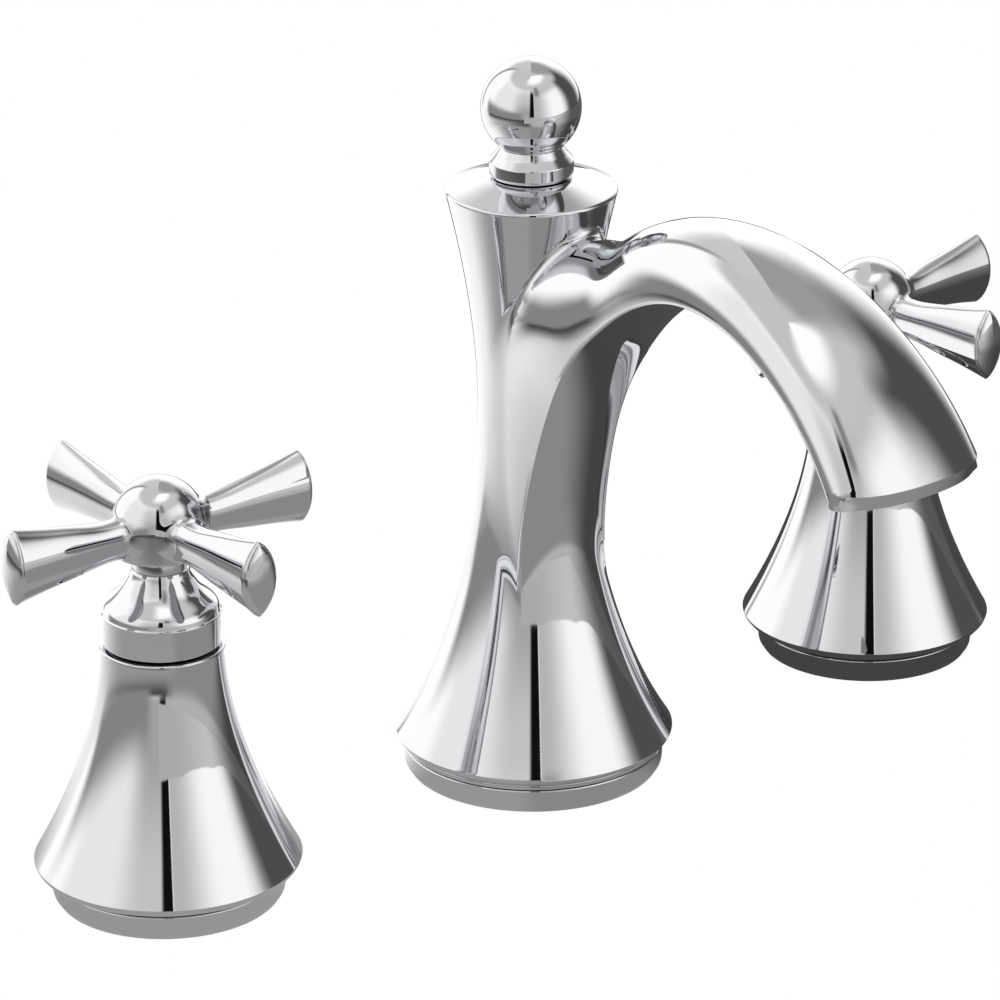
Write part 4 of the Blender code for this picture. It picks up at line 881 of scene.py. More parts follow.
def column():
    edge = 0.0007
    profile = [(0, CROWN), (CROWN_RADIUS, CROWN)]
    profile += [(CROWN_RADIUS + 0.0087 * share, CROWN - 0.0029 * share) for share in (0.25, 0.5, 0.75, 0.97)]
    profile += [(TOP_RADIUS - edge + edge * math.cos(angle), TOP + edge * math.sin(angle))
                for angle in np.radians(np.linspace(70, -15, 8))]
    profile += along(0.1338, 0.0200, 110, lambda height: float(column_radius(height)))
    profile += along(0.0192, 0.0095, 16, lambda height: float(column_radius(height)))
    profile += rounded([(0.0309, 0.0092), (RIM_RADIUS, RIM, 0.0002), (0.0307, 0.0082, 0.0005),
                        (0.0300, 0.0074, 0.0004), (0.0294, 0.0068, 0.0008), (SPOUT_FOOT, 0.0063, 0.0003),
                        (SPOUT_FOOT, COVER_SEAT)])[1:]
    return lathe("spout", profile + [(0, COVER_SEAT)], 192)

# %% [markdown]
# ## The arm
# The arm leaves the column low on its flare, climbs it, bends over and comes down to the outlet.
# Its sections stand square to circles about a centre under the arch, one for each angle round
# it. Each has a domed crown, two creases along its lower edges and a slightly bulged underside.
# Splines give the inner and outer radius, the half width, the bulge, how much the flanks swell,
# and how square the dome is, from a few angles each. All radii are shares of 60 mm.

# %% Arm's tables
ARCH = 0.060
CENTRE_REACH = 0.062
CENTRE_HEIGHT = 0.070
STATIONS = (-30, 0, 30, 45, 52.5, 60, 70, 90, 120, 150, 165)
arm_inner = spline(STATIONS, (0.977, 0.832, 0.807, 0.828, 0.844, 0.862, 0.899, 0.980, 1.022, 1.033, 1.035))
arm_outer = spline(STATIONS, (1.170, 1.189, 1.271, 1.262, 1.212, 1.150, 1.168, 1.209, 1.192, 1.183, 1.185))
arm_half = spline(STATIONS, (0.209, 0.196, 0.195, 0.211, 0.213, 0.216, 0.225, 0.250, 0.293, 0.333, 0.350))
arm_bulge = spline(STATIONS, (0.070, 0.042, 0.033, 0.035, 0.037, 0.040, 0.043, 0.050, 0.083, 0.158, 0.170))
arm_flank = spline(STATIONS, (0.27, 0.16, 0.21, 0.20, 0.06, 0.02, 0, 0, 0, 0, 0))
arm_power = spline(STATIONS, (3.5, 2.85, 3.3, 2.4, 2.2, 2.1, 2.2, 2.3, 2.3, 2.3, 2.3))


def arm_sizes(degrees):
    lengths = [ARCH * curve(degrees) for curve in (arm_inner, arm_outer, arm_half, arm_bulge)]
    return lengths + [np.clip(arm_flank(degrees), 0, None), arm_power(degrees)]

# %% Faces between loops of points
def bridge(rings, around, closed=False):
    """Faces between loops of points that are listed one after another."""
    return [(i * around + j, i * around + (j + 1) % around,
             (i + 1) % rings * around + (j + 1) % around, (i + 1) % rings * around + j)
            for i in range(rings if closed else rings - 1) for j in range(around)]


def faces_outward(piece):
    bm = bmesh.new()
    bm.from_mesh(piece.data)
    bmesh.ops.recalc_face_normals(bm, faces=bm.faces)
    bm.to_mesh(piece.data)
    bm.free()
    return piece

# %% Sections of the arm
def arm_section(degrees):
    """Points (x, radius) of one section, close together at the creases."""
    inner, outer, half, bulge, flank, power = [float(size) for size in arm_sizes(degrees)]
    quarter = [0, 0.004, 0.012, 0.03, 0.06, 0.11, 0.18, 0.28, 0.42, 0.60, 0.80]
    quarter += list(np.linspace(1.0, math.pi / 2, 12))
    points = []
    for angle in quarter + [math.pi - angle for angle in reversed(quarter[:-1])]:
        up = abs(math.sin(angle)) ** (2 / power)
        swell = 1 + flank * up * math.sqrt(max(0, 1 - up ** 2))
        points.append((math.copysign(abs(math.cos(angle)) ** (2 / power), math.cos(angle)) * half * swell,
                       inner + (outer - inner) * up))
    across = [0.993, 0.98, 0.95, *np.linspace(0.9, 0.08, 11)]
    points += [(half * share, inner - bulge * (1 - share ** 2))
               for share in [-share for share in across] + [0] + across[::-1]]
    return points


def arm_solid(sections=240):
    points = []
    for degrees in np.linspace(STATIONS[0], STATIONS[-1], sections):
        angle = math.radians(degrees)
        section = arm_section(degrees)
        points += [(x, -CENTRE_REACH + radius * math.cos(angle), CENTRE_HEIGHT + radius * math.sin(angle))
                   for x, radius in section]
    count = len(section)
    faces = bridge(sections, count)
    faces += [tuple(range(count)), tuple(range(len(points) - 1, len(points) - 1 - count, -1))]
    return faces_outward(mesh_object("arm", points, faces))

# %% [markdown]
# The arm as a field: its flanks and crown are one curve, its underside another, and the creases
# are where the two meet, softened by half a millimetre. Below its first section the arm fades
# away inside the column, so that it leaves no trace there.

# %% The arm's field, and the whole spout's
CREASE = 0.0006


def polar(points):
    y = points[:, 1] + CENTRE_REACH
    z = points[:, 2] - CENTRE_HEIGHT
    return np.degrees(np.arctan2(z, y)), np.hypot(y, z)


def arm_parts(points):
    degrees, radius = polar(points)
    inner, outer, half, bulge, flank, power = arm_sizes(np.clip(degrees, STATIONS[0], STATIONS[-1]))
    up = np.clip((radius - inner) / (outer - inner), 0, None)
    level_up = np.clip(up, 0, 1)
    wide = half * (1 + flank * level_up * np.sqrt(1 - level_up ** 2))
    flanks = ((np.abs(points[:, 0] / wide) ** power + up ** power) ** (1 / power) - 1) * half
    underside = inner - bulge * (1 - np.clip(points[:, 0] / half, -1.4, 1.4) ** 2) - radius
    below = radius * np.sin(np.radians(np.clip(STATIONS[0] - degrees, 0, 60))) * 1.2
    return flanks + below, underside + below


arm_flanks = as_distance(lambda points: arm_parts(points)[0])
arm_underside = as_distance(lambda points: arm_parts(points)[1])


def arm_field(points):
    return smooth_max(arm_flanks(points), arm_underside(points), CREASE)


def smoothly(value, start, end):
    share = np.clip((value - start) / (end - start), 0, 1)
    return share * share * (3 - 2 * share)


def seam_width(points):
    """The fillet between column and arm: hardly any on the flanks, wide in the saddle on top."""
    across = np.abs(points[:, 0])
    height = points[:, 2]
    return 0.0006 + 0.0007 * smoothly(height, 0.042, 0.062) + (
        0.0022 * smoothly(height, 0.112, 0.124) * smoothly(across, 0.0110, 0.0030))


def spout_field(points):
    return smooth_min(column_field(points), arm_field(points), seam_width(points))

# %% [markdown]
# The arm ends in a level cut, with a bevel round its crown. Into the casting go a pocket for
# the aerator, the hollow of the column, the bore for the lift rod with a seat for its guide, and
# a small hole for the grub screw at the back.

# %% Spout
OUTLET = Vector((0, -0.1131, 0.1022))
OUTLET_TILT = math.radians(6)
OUTLET_CUT = 0.1013
BEVEL_HEIGHT = 0.0031
BEVEL_INSET = 0.0009
POCKET = 0.0070
ROD_BORE = 0.0026
GUIDE_SEAT = 0.0047
GUIDE_DEPTH = 0.0121
GRUB_HOLE = 0.0019
GRUB_SCREW_HEIGHT = 0.0089
HOLLOW_WALL = 0.002
HOLLOW_FOOT = 0.0249
HOLLOW_STEP = 0.0137
upright_outlet = Matrix.Translation(OUTLET) @ Matrix.Rotation(-OUTLET_TILT, 4, "X")
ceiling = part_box("water_tube")[1].z - 0.003


def blocks(middles, size):
    """One object made of equal boxes."""
    bm = bmesh.new()
    for middle in middles:
        bmesh.ops.create_cube(bm, size=1, matrix=Matrix.Translation(middle) @ Matrix.Diagonal((*size, 1)))
    made = mesh_object("blocks", [], [])
    bm.to_mesh(made.data)
    bm.free()
    return made


def hollow():
    sides = along(ceiling, 0.030, 30, lambda height: float(column_radius(height)) - HOLLOW_WALL)
    foot = [(HOLLOW_FOOT, HOLLOW_STEP), (HOLLOW_FOOT, -OVERRUN), (0, -OVERRUN)]
    return lathe("hollow", [(0, ceiling)] + sides + foot, 96)


def near_seam(points):
    """True for points in the seam of arm and column, or beside the arm's creases."""
    picked = np.zeros(len(points), bool)
    y = points[:, 1]
    z = points[:, 2]
    near = np.where((z > 0.025) & (z < 0.1341) & (y > -0.05) & (y < 0.02))[0]
    close = points[near]
    picked[near] = np.abs(column_field(close) - arm_field(close)) < seam_width(close)
    arm = np.where((y < -0.012) & (z > OUTLET_CUT + 0.0002))[0]
    close = points[arm]
    crease = np.abs(arm_flanks(close) - arm_underside(close)) < CREASE
    picked[arm] |= crease & (np.abs(arm_field(close)) < 0.0004)
    return picked


def on_skin(points):
    height = points[:, 2]
    outlet = (points[:, 1] < -0.09) & (height < OUTLET_CUT + BEVEL_HEIGHT + 0.0002)
    return (((height > 0.0205) & (height < 0.1337)) | (points[:, 1] < -0.025)) & ~outlet


def bevel_outlet(piece):
    """Draw in the crown's skin below a level line round the outlet, less and less towards the creases."""
    top = OUTLET_CUT + BEVEL_HEIGHT
    bm = bmesh.new()
    bm.from_mesh(piece.data)
    faces = [face for face in bm.faces if face.calc_center_median().y < -0.09]
    edges = {edge for face in faces for edge in face.edges}
    corners = {vertex for face in faces for vertex in face.verts}
    bmesh.ops.bisect_plane(bm, geom=[*faces, *edges, *corners], plane_co=(0, 0, top), plane_no=(0, 0, 1))
    bm.to_mesh(piece.data)
    bm.free()
    points = places(piece.data)
    low = np.where((points[:, 1] < -0.095) & (points[:, 2] < top - 0.00001))[0]
    crown = low[np.abs(arm_flanks(points[low])) < 0.0008]
    slope = gradient(arm_flanks, points[crown])
    level = np.hypot(slope[:, 0], slope[:, 1])
    degrees, radius = polar(points[crown])
    inner, outer = arm_sizes(degrees)[:2]
    share = smoothly((radius - inner) / (outer - inner), 0.01, 0.62) * (top - points[crown, 2])
    inset = share * (BEVEL_INSET / BEVEL_HEIGHT + slope[:, 2] / level)
    points[crown, :2] -= slope[:, :2] * (inset / level)[:, None]
    piece.data.vertices.foreach_set("co", points.ravel())
    piece.data.update()
    print("outlet bevelled at", len(crown), "points")


def spout():
    piece = combine(column(), arm_solid(), "UNION")
    refine(piece, lambda points: near_seam(points) & (points[:, 1] > -0.05) & (points[:, 1] < 0.006)
           & (points[:, 2] > 0.038), (0.0009, 0.00055))
    soften(piece, spout_field, near_seam)
    below = Vector((0.12, 0.11, OUTLET_CUT - 0.02))
    combine(piece, blocks([(0, -0.145, OUTLET_CUT - below.z / 2)], below), "DIFFERENCE")
    bevel_outlet(piece)
    combine(piece, hollow(), "DIFFERENCE")
    pocket = bar("pocket", POCKET, -0.004, 0.0066, 64)
    pocket.data.transform(upright_outlet)
    combine(piece, pocket, "DIFFERENCE")
    combine(piece, bar("rod_bore", ROD_BORE, ceiling - OVERRUN, CROWN + OVERRUN, 32), "DIFFERENCE")
    combine(piece, bar("guide_seat", GUIDE_SEAT, CROWN - GUIDE_DEPTH, CROWN + OVERRUN, 48), "DIFFERENCE")
    grub_hole = move(bar("grub_hole", GRUB_HOLE, 0, 0.014, 32), (0, 0.022, GRUB_SCREW_HEIGHT), (0, 1, 0))
    combine(piece, grub_hole, "DIFFERENCE")
    shade_by_field(piece, spout_field, on_skin)
    return finish(piece, "root", "chrome_plate", "spout_body", weighted=False)


spout()

# %% [markdown]
# ## Lift knob
# Pulling the knob up closes the basin's stopper. It is one turned piece: a ball on a short neck
# and a flared skirt with a rolled edge, which casts a thin black line on the column's crown.

# %% Knob
KNOB_FOOT = CROWN + CLEARANCE
KNOB_EDGE = 0.0092
KNOB_BORE = 0.0023
KNOB_BORE_TOP = KNOB_FOOT + 0.0115
BALL = 0.01084
BALL_HEIGHT = 0.01503
BALL_NECK = 0.0070


def knob():
    centre = KNOB_FOOT + BALL_HEIGHT
    low = math.pi - math.asin(BALL_NECK / BALL)
    profile = [(BALL * math.sin(angle), centre + BALL * math.cos(angle)) for angle in np.linspace(0, low, 64)]
    neck = profile[-1][1]
    profile += rounded([profile[-1], (0.0068, neck - 0.0002, 0.0002), (0.0068, neck - 0.0005, 0.0003),
                        (0.0077, neck - 0.0019, 0.0030), (0.00915, KNOB_FOOT + 0.0032, 0.0004),
                        (KNOB_EDGE, KNOB_FOOT + 0.0007, 0.0004), (0.0088, KNOB_FOOT, 0.0003),
                        (KNOB_BORE, KNOB_FOOT)])[1:]
    profile += [(KNOB_BORE, KNOB_BORE_TOP), (0, KNOB_BORE_TOP)]
    return finish(lathe("knob", profile), "lift", "chrome_plate", "lift_knob")


knob()

# %% [markdown]
# ## Cross handles
# The hub is a dome on an upright drum, with a round foot under it. Four arms come out of it, oval
# at the root, and flare into tall paddles. Towards its tip a paddle's section turns into a lens,
# pointed at the top and the bottom, and it ends in a low dome. They are one casting, so arms and
# hub flow into each other with a wide fillet, made in the same way as the spout's.
#
# Two powers shape a section, one for its sides and one for its upper and lower edge: 2 and 2 would
# be an ellipse, larger powers are squarer, and 1 at the sides makes the edges pointed.

# %% Sizes along an arm
HUB = 0.0098
HUB_CENTRE = 0.0848
HUB_BOTTOM = NECK_TOP + CLEARANCE
DRUM_BOTTOM = 0.0784
DRUM_EDGE = 0.0005
STEM_HOLE = 0.0078
CROSS = 0.0835
CROSS_REACH = 0.0375
CROSS_END = 0.0356
HUB_FILLET = 0.0020
UNDER_FILLET = 0.0008
REACHES = (0, 0.0103, 0.0128, 0.0204, 0.0286, CROSS_END)
cross_tall = spline(REACHES, (0.0088, 0.0088, 0.0088, 0.0110, 0.0138, 0.0166))
cross_wide = spline(REACHES, (0.0068, 0.0068, 0.0068, 0.0073, 0.0079, 0.0086))


def cross_sizes(reach):
    """Half width, half height and the two powers of an arm's section at a reach."""
    lens = smoothly(reach, 0.0090, CROSS_END + 0.004)
    return cross_wide(reach) / 2, cross_tall(reach) / 2, 2.4 - 1.15 * lens, 2.4 - 0.30 * lens


def cross_loop(reach, shrink, around):
    """Points of one section, made smaller by a share."""
    wide, tall, side_power, edge_power = [float(size) for size in cross_sizes(min(reach, CROSS_END))]
    loop = []
    for step in range(around):
        angle = 2 * math.pi * (step + 0.5) / around
        y = math.copysign(abs(math.cos(angle)) ** (2 / side_power), math.cos(angle)) * wide * shrink
        z = math.copysign(abs(math.sin(angle)) ** (2 / edge_power), math.sin(angle)) * tall * shrink
        loop.append((reach, y, CROSS + z))
    return loop

# %% Mesh of an arm
TIP_EDGE = 0.00045
TIP_SHRINK = 0.085
TIP_TURN = 1.2


def tip_share(turned):
    """How wide the loop is after turning so far round the tip's edge, in radians."""
    return 1 - TIP_SHRINK * (1 - math.cos(turned))


def cross_arm(turn_to, around=96):
    loops = [cross_loop(reach, 1, around)
             for reach in (0, 0.004, *np.linspace(0.0075, 0.0112, 22), *np.linspace(0.0116, CROSS_END, 60))]
    loops += [cross_loop(CROSS_END + TIP_EDGE * math.sin(turned), tip_share(turned), around)
              for turned in (0.25, 0.5, 0.75, 1.0, TIP_TURN)]
    shoulder = loops[-1][0][0]
    dome = CROSS_REACH - shoulder
    loops += [cross_loop(shoulder + dome * math.sin(turned), tip_share(TIP_TURN) * math.cos(turned), around)
              for turned in np.linspace(0.06, 1.52, 22)]
    points = [point for loop in loops for point in loop]
    faces = bridge(len(loops), around)
    points.append((CROSS_REACH, 0, CROSS))
    last = (len(loops) - 1) * around
    faces += [(last + i, last + (i + 1) % around, len(points) - 1) for i in range(around)]
    faces.append(tuple(range(around)))
    arm = faces_outward(mesh_object("cross_arm", points, faces))
    arm.data.transform(Matrix.Rotation(turn_to, 4, "Z"))
    return arm

# %% Field of the handle
def cross_arm_raw(points):
    """The four arms fold into one: the larger of |x| and |y| runs along it, the smaller across."""
    reach = np.maximum(np.abs(points[:, 0]), np.abs(points[:, 1]))
    across = np.minimum(np.abs(points[:, 0]), np.abs(points[:, 1]))
    wide, tall, side_power, edge_power = cross_sizes(np.clip(reach, 0, CROSS_END))
    up = np.abs(points[:, 2] - CROSS) / tall
    return ((across / wide) ** side_power + up ** edge_power - 1) * wide


cross_field = as_distance(cross_arm_raw)


def hub_field(points):
    dome = np.linalg.norm(points - np.array((0, 0, HUB_CENTRE)), axis=1) - HUB
    drum = np.hypot(points[:, 0], points[:, 1]) - HUB
    return smooth_max(np.where(points[:, 2] > HUB_CENTRE, dome, drum), DRUM_BOTTOM - points[:, 2], DRUM_EDGE)


def hub_fillet(points):
    """The fillet between hub and arms: wide, but small where their undersides nearly meet."""
    return UNDER_FILLET + (HUB_FILLET - UNDER_FILLET) * smoothly(points[:, 2], 0.0788, 0.0822)


def handle_field(points):
    return smooth_min(hub_field(points), cross_field(points), hub_fillet(points))


def near_hub(points):
    far = np.hypot(points[:, 0], points[:, 1]) > 0.0165
    seam = np.abs(hub_field(points) - cross_field(points)) < hub_fillet(points)
    return seam & ~far & (points[:, 2] > DRUM_BOTTOM + 0.0001)


def on_handle_skin(points):
    return (np.hypot(points[:, 0], points[:, 1]) < 0.0352) & (points[:, 2] > DRUM_BOTTOM + DRUM_EDGE)

# %% Cross handles
def cross_handle(side, x):
    drum_start = DRUM_BOTTOM + DRUM_EDGE
    profile = [(HUB * math.sin(angle), HUB_CENTRE + HUB * math.cos(angle))
               for angle in np.linspace(0, math.pi / 2, 34)]
    profile += [(HUB, height) for height in np.linspace(HUB_CENTRE, drum_start, 10)[1:-1]]
    profile += rounded([(HUB, drum_start), (HUB, DRUM_BOTTOM, DRUM_EDGE),
                        (COLLAR_RADIUS, DRUM_BOTTOM, 0.0003), (COLLAR_RADIUS, HUB_BOTTOM, 0.0003),
                        (0, HUB_BOTTOM)])
    piece = lathe(side + "_cross", profile, 128)
    for quarter in range(4):
        combine(piece, cross_arm(quarter * math.pi / 2), "UNION")
    refine(piece, near_hub, (0.0007, 0.0004))
    soften(piece, handle_field, near_hub)
    combine(piece, bar("bore", STEM_BORE, HUB_BOTTOM - OVERRUN, HUB_BOTTOM + STEM_HOLE, 32), "DIFFERENCE")
    shade_by_field(piece, handle_field, on_handle_skin)
    set_on_stem(piece, side, x)
    return finish(piece, side + "_handle", "chrome_plate", side + "_cross_handle", weighted=False)


for side, x in handles.items():
    cross_handle(side, x)

# %% [markdown]
# ## Screws and the aerator
# A set screw at the back of each handle and a grub screw at the back of the spout have a hexagon
# socket for a key. In the outlet sits the aerator: a chromed ring with a lip, and a dark insert
# whose grid of square holes breaks the water into a soft stream.

# %% Socket screws
SET_SCREW = 0.0020
SET_SCREW_START = 0.0101
GRUB_SCREW = 0.0016
GRUB_SCREW_START = 0.0249
GRUB_SCREW_END = 0.0302


def socket_screw(name, radius, start, end, height, key):
    """A screw along +Y, its socket in the outer end."""
    length = end - start
    piece = lathe(name, rounded([(0, length), (radius, length, 0.0002), (radius, 0, 0.0004), (0, 0)]), 40)
    combine(piece, bar("key", key, 0.4 * length, length + OVERRUN, 6), "DIFFERENCE")
    return move(piece, (0, start, height), (0, 1, 0))


for side, x in handles.items():
    screw = socket_screw(side + "_set_screw_turned", SET_SCREW, SET_SCREW_START, SKIRT_RADIUS,
                         SET_SCREW_HEIGHT, 0.0011)
    finish(set_on_stem(screw, side, x), side + "_handle", "stainless_steel", side + "_set_screw")
grub = socket_screw("spout_grub_screw_turned", GRUB_SCREW, GRUB_SCREW_START, GRUB_SCREW_END,
                    GRUB_SCREW_HEIGHT, 0.0009)
finish(grub, "root", "stainless_steel", "spout_grub_screw")

# %% Aerator
GRID_PITCH = 0.00125
GRID_HOLE = 0.0009
GRID_RADIUS = 0.0046


AERATOR_TOP = 0.0050

lip_profile = rounded([(0.0067, AERATOR_TOP), (0.0067, 0.0008, 0.0003), (0.0047, 0.0008, 0.0002),
                       (0.0047, 0.0018, 0.0002), (0.0057, 0.0018), (0.0057, AERATOR_TOP)])
lip_ring = lathe("aerator_ring", lip_profile, 96)
lip_ring.data.transform(upright_outlet)
finish(lip_ring, "root", "chrome_plate", "aerator_housing")
grid = lathe("aerator_grid", [(0, AERATOR_TOP), (0.0054, AERATOR_TOP), (0.0054, 0.0021), (0, 0.0021)], 96)
row = [number * GRID_PITCH for number in range(-4, 5)]
holes = [(x, y, 0.0020) for x in row for y in row if math.hypot(x, y) < GRID_RADIUS]
combine(grid, blocks(holes, (GRID_HOLE, GRID_HOLE, 0.0022)), "DIFFERENCE")
grid.data.transform(upright_outlet)
finish(grid, "root", "dark_plastic", "aerator_insert")

# %% [markdown]
# ## Below the deck
# Each post is clamped to the deck by a hexagon nut on a threaded shank, over a steel and a rubber
# washer. A nut's corners are chamfered on a lathe, so its faces end in arcs. Water comes in at the
# foot of each valve, leaves through a threaded nipple for a hose to the tee, and rises through a
# brass tube into the spout. Threads are pressed into closely spaced rings of a turned piece.

# %% Washers
WASHER = 0.0215
WASHER_BORE = SHANK_RADIUS + CLEARANCE
RUBBER_TOP = -DECK - CLEARANCE
RUBBER = 0.0025
STEEL_TOP = RUBBER_TOP - RUBBER - CLEARANCE
STEEL = 0.0014


def washer(name, x, top, thickness, edge, slot):
    bottom = top - thickness
    profile = rounded([(WASHER, top, edge), (WASHER, bottom, edge), (WASHER_BORE, bottom, edge),
                       (WASHER_BORE, top, edge)])
    return finish(move(lathe(name, profile, 96), (x, 0, 0)), "root", slot, name)

# %% Nuts, their corners cut by a cone
NUT_TOP = STEEL_TOP - STEEL - CLEARANCE
NUT_BOTTOM = NUT_TOP - 0.0090
NUT_CORNER = 0.0185
NUT_FACE = 0.0144
NUT_MOUTH = WASHER_BORE + 0.0018
CONE_RISE = 0.001


def both_ways(end_radius, inset, middle_radius):
    """A cutter's profile over a nut: one radius past both ends, another between them."""
    top = NUT_TOP + CONE_RISE
    bottom = NUT_BOTTOM - CONE_RISE
    return [(0, top), (end_radius, top), (middle_radius, NUT_TOP - inset),
            (middle_radius, NUT_BOTTOM + inset), (end_radius, bottom), (0, bottom)]


def nut(name, x):
    piece = bar(name, NUT_CORNER, NUT_BOTTOM, NUT_TOP, 6)
    combine(piece, lathe("cone", both_ways(NUT_FACE, 0.0015, NUT_CORNER + CLEARANCE), 96), "INTERSECT")
    combine(piece, lathe("bore", both_ways(NUT_MOUTH, 0.0008, WASHER_BORE), 96), "DIFFERENCE")
    return finish(move(piece, (x, 0, 0)), "root", "brass", name)


for post, x in {"spout": 0, **handles}.items():
    washer(post + "_rubber_washer", x, RUBBER_TOP, RUBBER, 0.0005, "black_rubber")
    washer(post + "_steel_washer", x, STEEL_TOP, STEEL, 0.0002, "stainless_steel")
    nut(post + "_mounting_nut", x)

# %% Shank of the spout
PITCH = 0.0018
THREAD_DEPTH = 0.0007
THREAD_END = 0.0002
RING_GAP = 0.0003
SHANK_THREAD = (-0.015, -0.041)
SHANK_FLANGE = 0.0246
FLANGE_TOP = 0.0114
SHANK_BOTTOM = -0.042
SHANK_BORE = SHANK_RADIUS - 0.0027


def threaded(radius, top, bottom):
    """Closely spaced points for a thread to be pressed into."""
    return [(radius, float(height)) for height in np.arange(top, bottom, -RING_GAP)]


shank_profile = [(SHANK_FLANGE, FLANGE_TOP, 0.0004), (SHANK_FLANGE, COVER_SEAT, 0.0003),
                 (SHANK_RADIUS, COVER_SEAT)]
shank_profile += threaded(SHANK_RADIUS, *SHANK_THREAD)
shank_profile += [(SHANK_RADIUS, SHANK_BOTTOM, 0.0006), (SHANK_BORE, SHANK_BOTTOM, 0.0004),
                  (SHANK_BORE, FLANGE_TOP, 0.0003)]
shank = lathe("spout_shank_threaded", rounded(shank_profile), 96)
thread(shank, SHANK_RADIUS, SHANK_THREAD[1] - THREAD_END, SHANK_THREAD[0], PITCH, THREAD_DEPTH)
finish(shank, "root", "brass", "spout_shank")

# %% Valves
BARREL = 0.0108
BARREL_BORE = 0.0089
BARREL_TOP = 0.028
BARREL_FLOOR = 0.009
BARREL_FOOT = 0.014
VALVE_BOTTOM = -0.052
VALVE_THREAD = (-0.016, -0.035)
INLET = 0.0095
INLET_BOTTOM = -0.064
INLET_OFFSET = 0.0029
INLET_THREAD = (-0.0535, -0.063)
INLET_PITCH = 0.0015
INLET_DEPTH = 0.0006
NIPPLE = 0.0062
NIPPLE_REACH = 0.024
NIPPLE_THREAD = (0.0232, 0.0146)
NIPPLE_HEIGHT = -0.043
NIPPLE_START = 0.0024
WATER_WAY = 0.0032
HOSE_PITCH = 0.0012
HOSE_DEPTH = 0.0005


def valve(side, x):
    inward = math.copysign(1, -x)
    corners = [(0, BARREL_FLOOR), (BARREL_BORE, BARREL_FLOOR), (BARREL_BORE, BARREL_TOP, 0.0003),
               (BARREL, BARREL_TOP, 0.0003), (BARREL, BARREL_FOOT), (SHANK_RADIUS, BARREL_FOOT, 0.0004)]
    corners += threaded(SHANK_RADIUS, *VALVE_THREAD)
    corners += [(SHANK_RADIUS, VALVE_BOTTOM, 0.0008), (INLET, VALVE_BOTTOM)]
    corners += threaded(INLET, *INLET_THREAD)
    corners += [(INLET, INLET_BOTTOM, 0.0006), (0, INLET_BOTTOM)]
    piece = lathe(side + "_valve_threaded", rounded(corners), 96)
    thread(piece, SHANK_RADIUS, VALVE_THREAD[1] - THREAD_END, VALVE_THREAD[0], PITCH, THREAD_DEPTH)
    thread(piece, INLET, INLET_THREAD[1] - THREAD_END, INLET_THREAD[0], INLET_PITCH, INLET_DEPTH)
    nipple_profile = [(0, NIPPLE_REACH), (NIPPLE, NIPPLE_REACH, 0.0005), *threaded(NIPPLE, *NIPPLE_THREAD),
                      (NIPPLE, 0), (0, 0)]
    nipple = lathe("nipple", rounded(nipple_profile), 64)
    thread(nipple, NIPPLE, NIPPLE_THREAD[1] - THREAD_END, NIPPLE_THREAD[0] + THREAD_END,
           HOSE_PITCH, HOSE_DEPTH)
    combine(piece, move(nipple, (0, 0, NIPPLE_HEIGHT), (inward, 0, 0)), "UNION")
    inlet_bore = bar("bore", WATER_WAY, INLET_BOTTOM - OVERRUN, BARREL_FLOOR + OVERRUN / 2, 32)
    combine(piece, move(inlet_bore, (-INLET_OFFSET * inward, 0, 0)), "DIFFERENCE")
    outlet_bore = move(bar("bore", WATER_WAY, 0, NIPPLE_REACH, 32), (NIPPLE_START * inward, 0, NIPPLE_HEIGHT),
                       (inward, 0, 0))
    combine(piece, outlet_bore, "DIFFERENCE")
    return finish(move(piece, (x, 0, 0)), "root", "brass", side + "_valve_body")


for side, x in handles.items():
    valve(side, x)

# %% Water tube: a circle carried along its line, up the outside and down the bore
TUBE = 0.0028
TUBE_BORE = 0.0021
TUBE_Y = -0.0066
TUBE_BEND_TOP = -0.042
TEE_Y = -0.0138
TEE_TOP = -0.056


def water_tube(around=40):
    shares = np.linspace(0, 1, 28)
    bend_y = TUBE_Y + (TEE_Y - TUBE_Y) * (1 - np.cos(math.pi * shares)) / 2
    bend_z = TUBE_BEND_TOP + (TEE_TOP - TUBE_BEND_TOP) * shares
    bend = np.column_stack([bend_y, bend_z])
    line = np.vstack([[(TUBE_Y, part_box("water_tube")[1].z)], bend, [(TEE_Y, TEE_TOP - 0.005)]])
    ahead = np.gradient(line, axis=0)
    ahead /= np.linalg.norm(ahead, axis=1, keepdims=True)
    order = [(i, TUBE) for i in range(len(line))] + [(i, TUBE_BORE) for i in reversed(range(len(line)))]
    points = []
    for i, radius in order:
        for angle in np.linspace(0, 2 * math.pi, around, endpoint=False):
            out = radius * math.sin(angle)
            points.append((radius * math.cos(angle), line[i, 0] - out * ahead[i, 1],
                           line[i, 1] + out * ahead[i, 0]))
    piece = mesh_object("water_tube_bent", points, bridge(len(order), around, closed=True))
    return finish(faces_outward(piece), "root", "brass", "water_tube")


water_tube()

# %% Tee
TEE = 0.0068
TEE_BOTTOM = TEE_TOP - 0.017
TEE_CENTRE = (TEE_TOP + TEE_BOTTOM - 0.005) / 2
TEE_ARM = 0.0054
TEE_REACH = 0.018
TEE_THREAD_END = 0.0172
TEE_THREAD_START = 0.0088
TEE_BORE = 0.0036
TEE_SOCKET = 0.0031
TEE_SOCKET_DEPTH = 0.0053


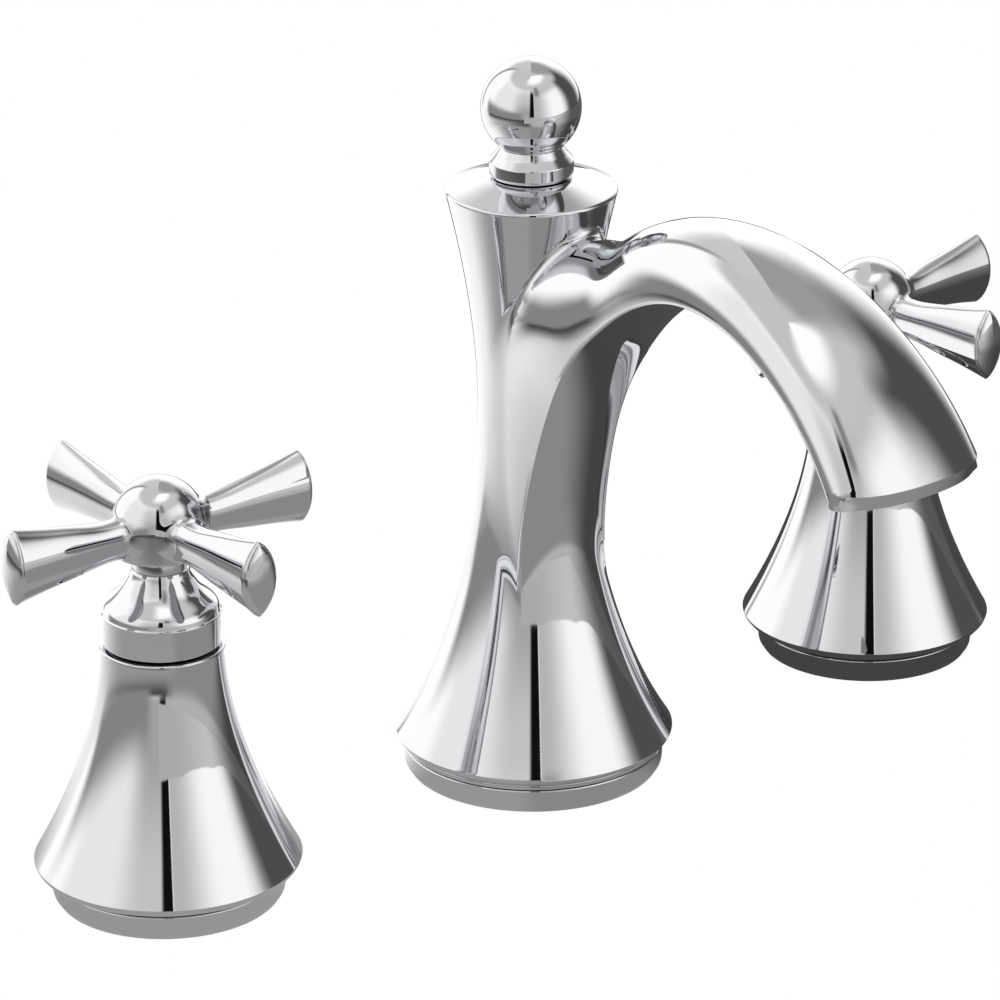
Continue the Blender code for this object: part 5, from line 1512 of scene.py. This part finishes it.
def tee():
    piece = lathe("tee_turned", rounded([(0, TEE_TOP), (TEE, TEE_TOP, 0.0005), (TEE, TEE_BOTTOM, 0.0010),
                                         (0, TEE_BOTTOM)]), 72)
    profile = [(0, TEE_REACH), (TEE_ARM, TEE_REACH, 0.0005)]
    profile += threaded(TEE_ARM, TEE_THREAD_END, TEE_THREAD_START)
    profile += threaded(TEE_ARM, -TEE_THREAD_START, -TEE_THREAD_END)
    profile += [(TEE_ARM, -TEE_REACH, 0.0005), (0, -TEE_REACH)]
    arms = lathe("arms", rounded(profile), 64)
    start = TEE_THREAD_START - THREAD_END
    end = TEE_THREAD_END + THREAD_END
    thread(arms, TEE_ARM, start, end, HOSE_PITCH, HOSE_DEPTH)
    thread(arms, TEE_ARM, -end, -start, HOSE_PITCH, HOSE_DEPTH)
    combine(piece, move(arms, (0, 0, TEE_CENTRE), (1, 0, 0)), "UNION")
    across = bar("bore", TEE_BORE, -TEE_REACH - OVERRUN, TEE_REACH + OVERRUN, 32)
    combine(piece, move(across, (0, 0, TEE_CENTRE), (1, 0, 0)), "DIFFERENCE")
    combine(piece, bar("socket", TEE_SOCKET, TEE_TOP - TEE_SOCKET_DEPTH, TEE_TOP + OVERRUN, 32), "DIFFERENCE")
    return finish(move(piece, (0, TEE_Y, 0)), "root", "brass", "inlet_tee")


tee()

# %% Lift rod
ROD = 0.0020
ROD_BOTTOM = -0.080
rod_top = CROWN + 0.0115
rod_profile = rounded([(0, rod_top), (ROD, rod_top, 0.0003), (ROD, ROD_BOTTOM, 0.0004), (0, ROD_BOTTOM)])
finish(lathe("lift_rod_turned", rod_profile, 40), "lift", "stainless_steel", "lift_rod")

# %% [markdown]
# ## The hidden parts
# The CAD nodes that stay as they are, inside the posts, get the same procedural finishes, chosen
# by what their names say they are.

# %% Finishes for the CAD nodes that stay
node_finishes = {"gasket": "black_rubber", "seal": "black_rubber", "screw": "stainless_steel",
                 "housing": "white_nylon", "guide": "white_nylon", "ring": "dark_plastic", "disc": "ceramic"}
for name, item in nodes.items():
    last_word = name.split("_")[-1]
    item.data.materials.clear()
    item.data.materials.append(finishes[node_finishes.get(last_word, "brass")])
    item.visible_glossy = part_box(name)[0].z > -FLOOR_DROP
print(len(nodes), "nodes have their finish")
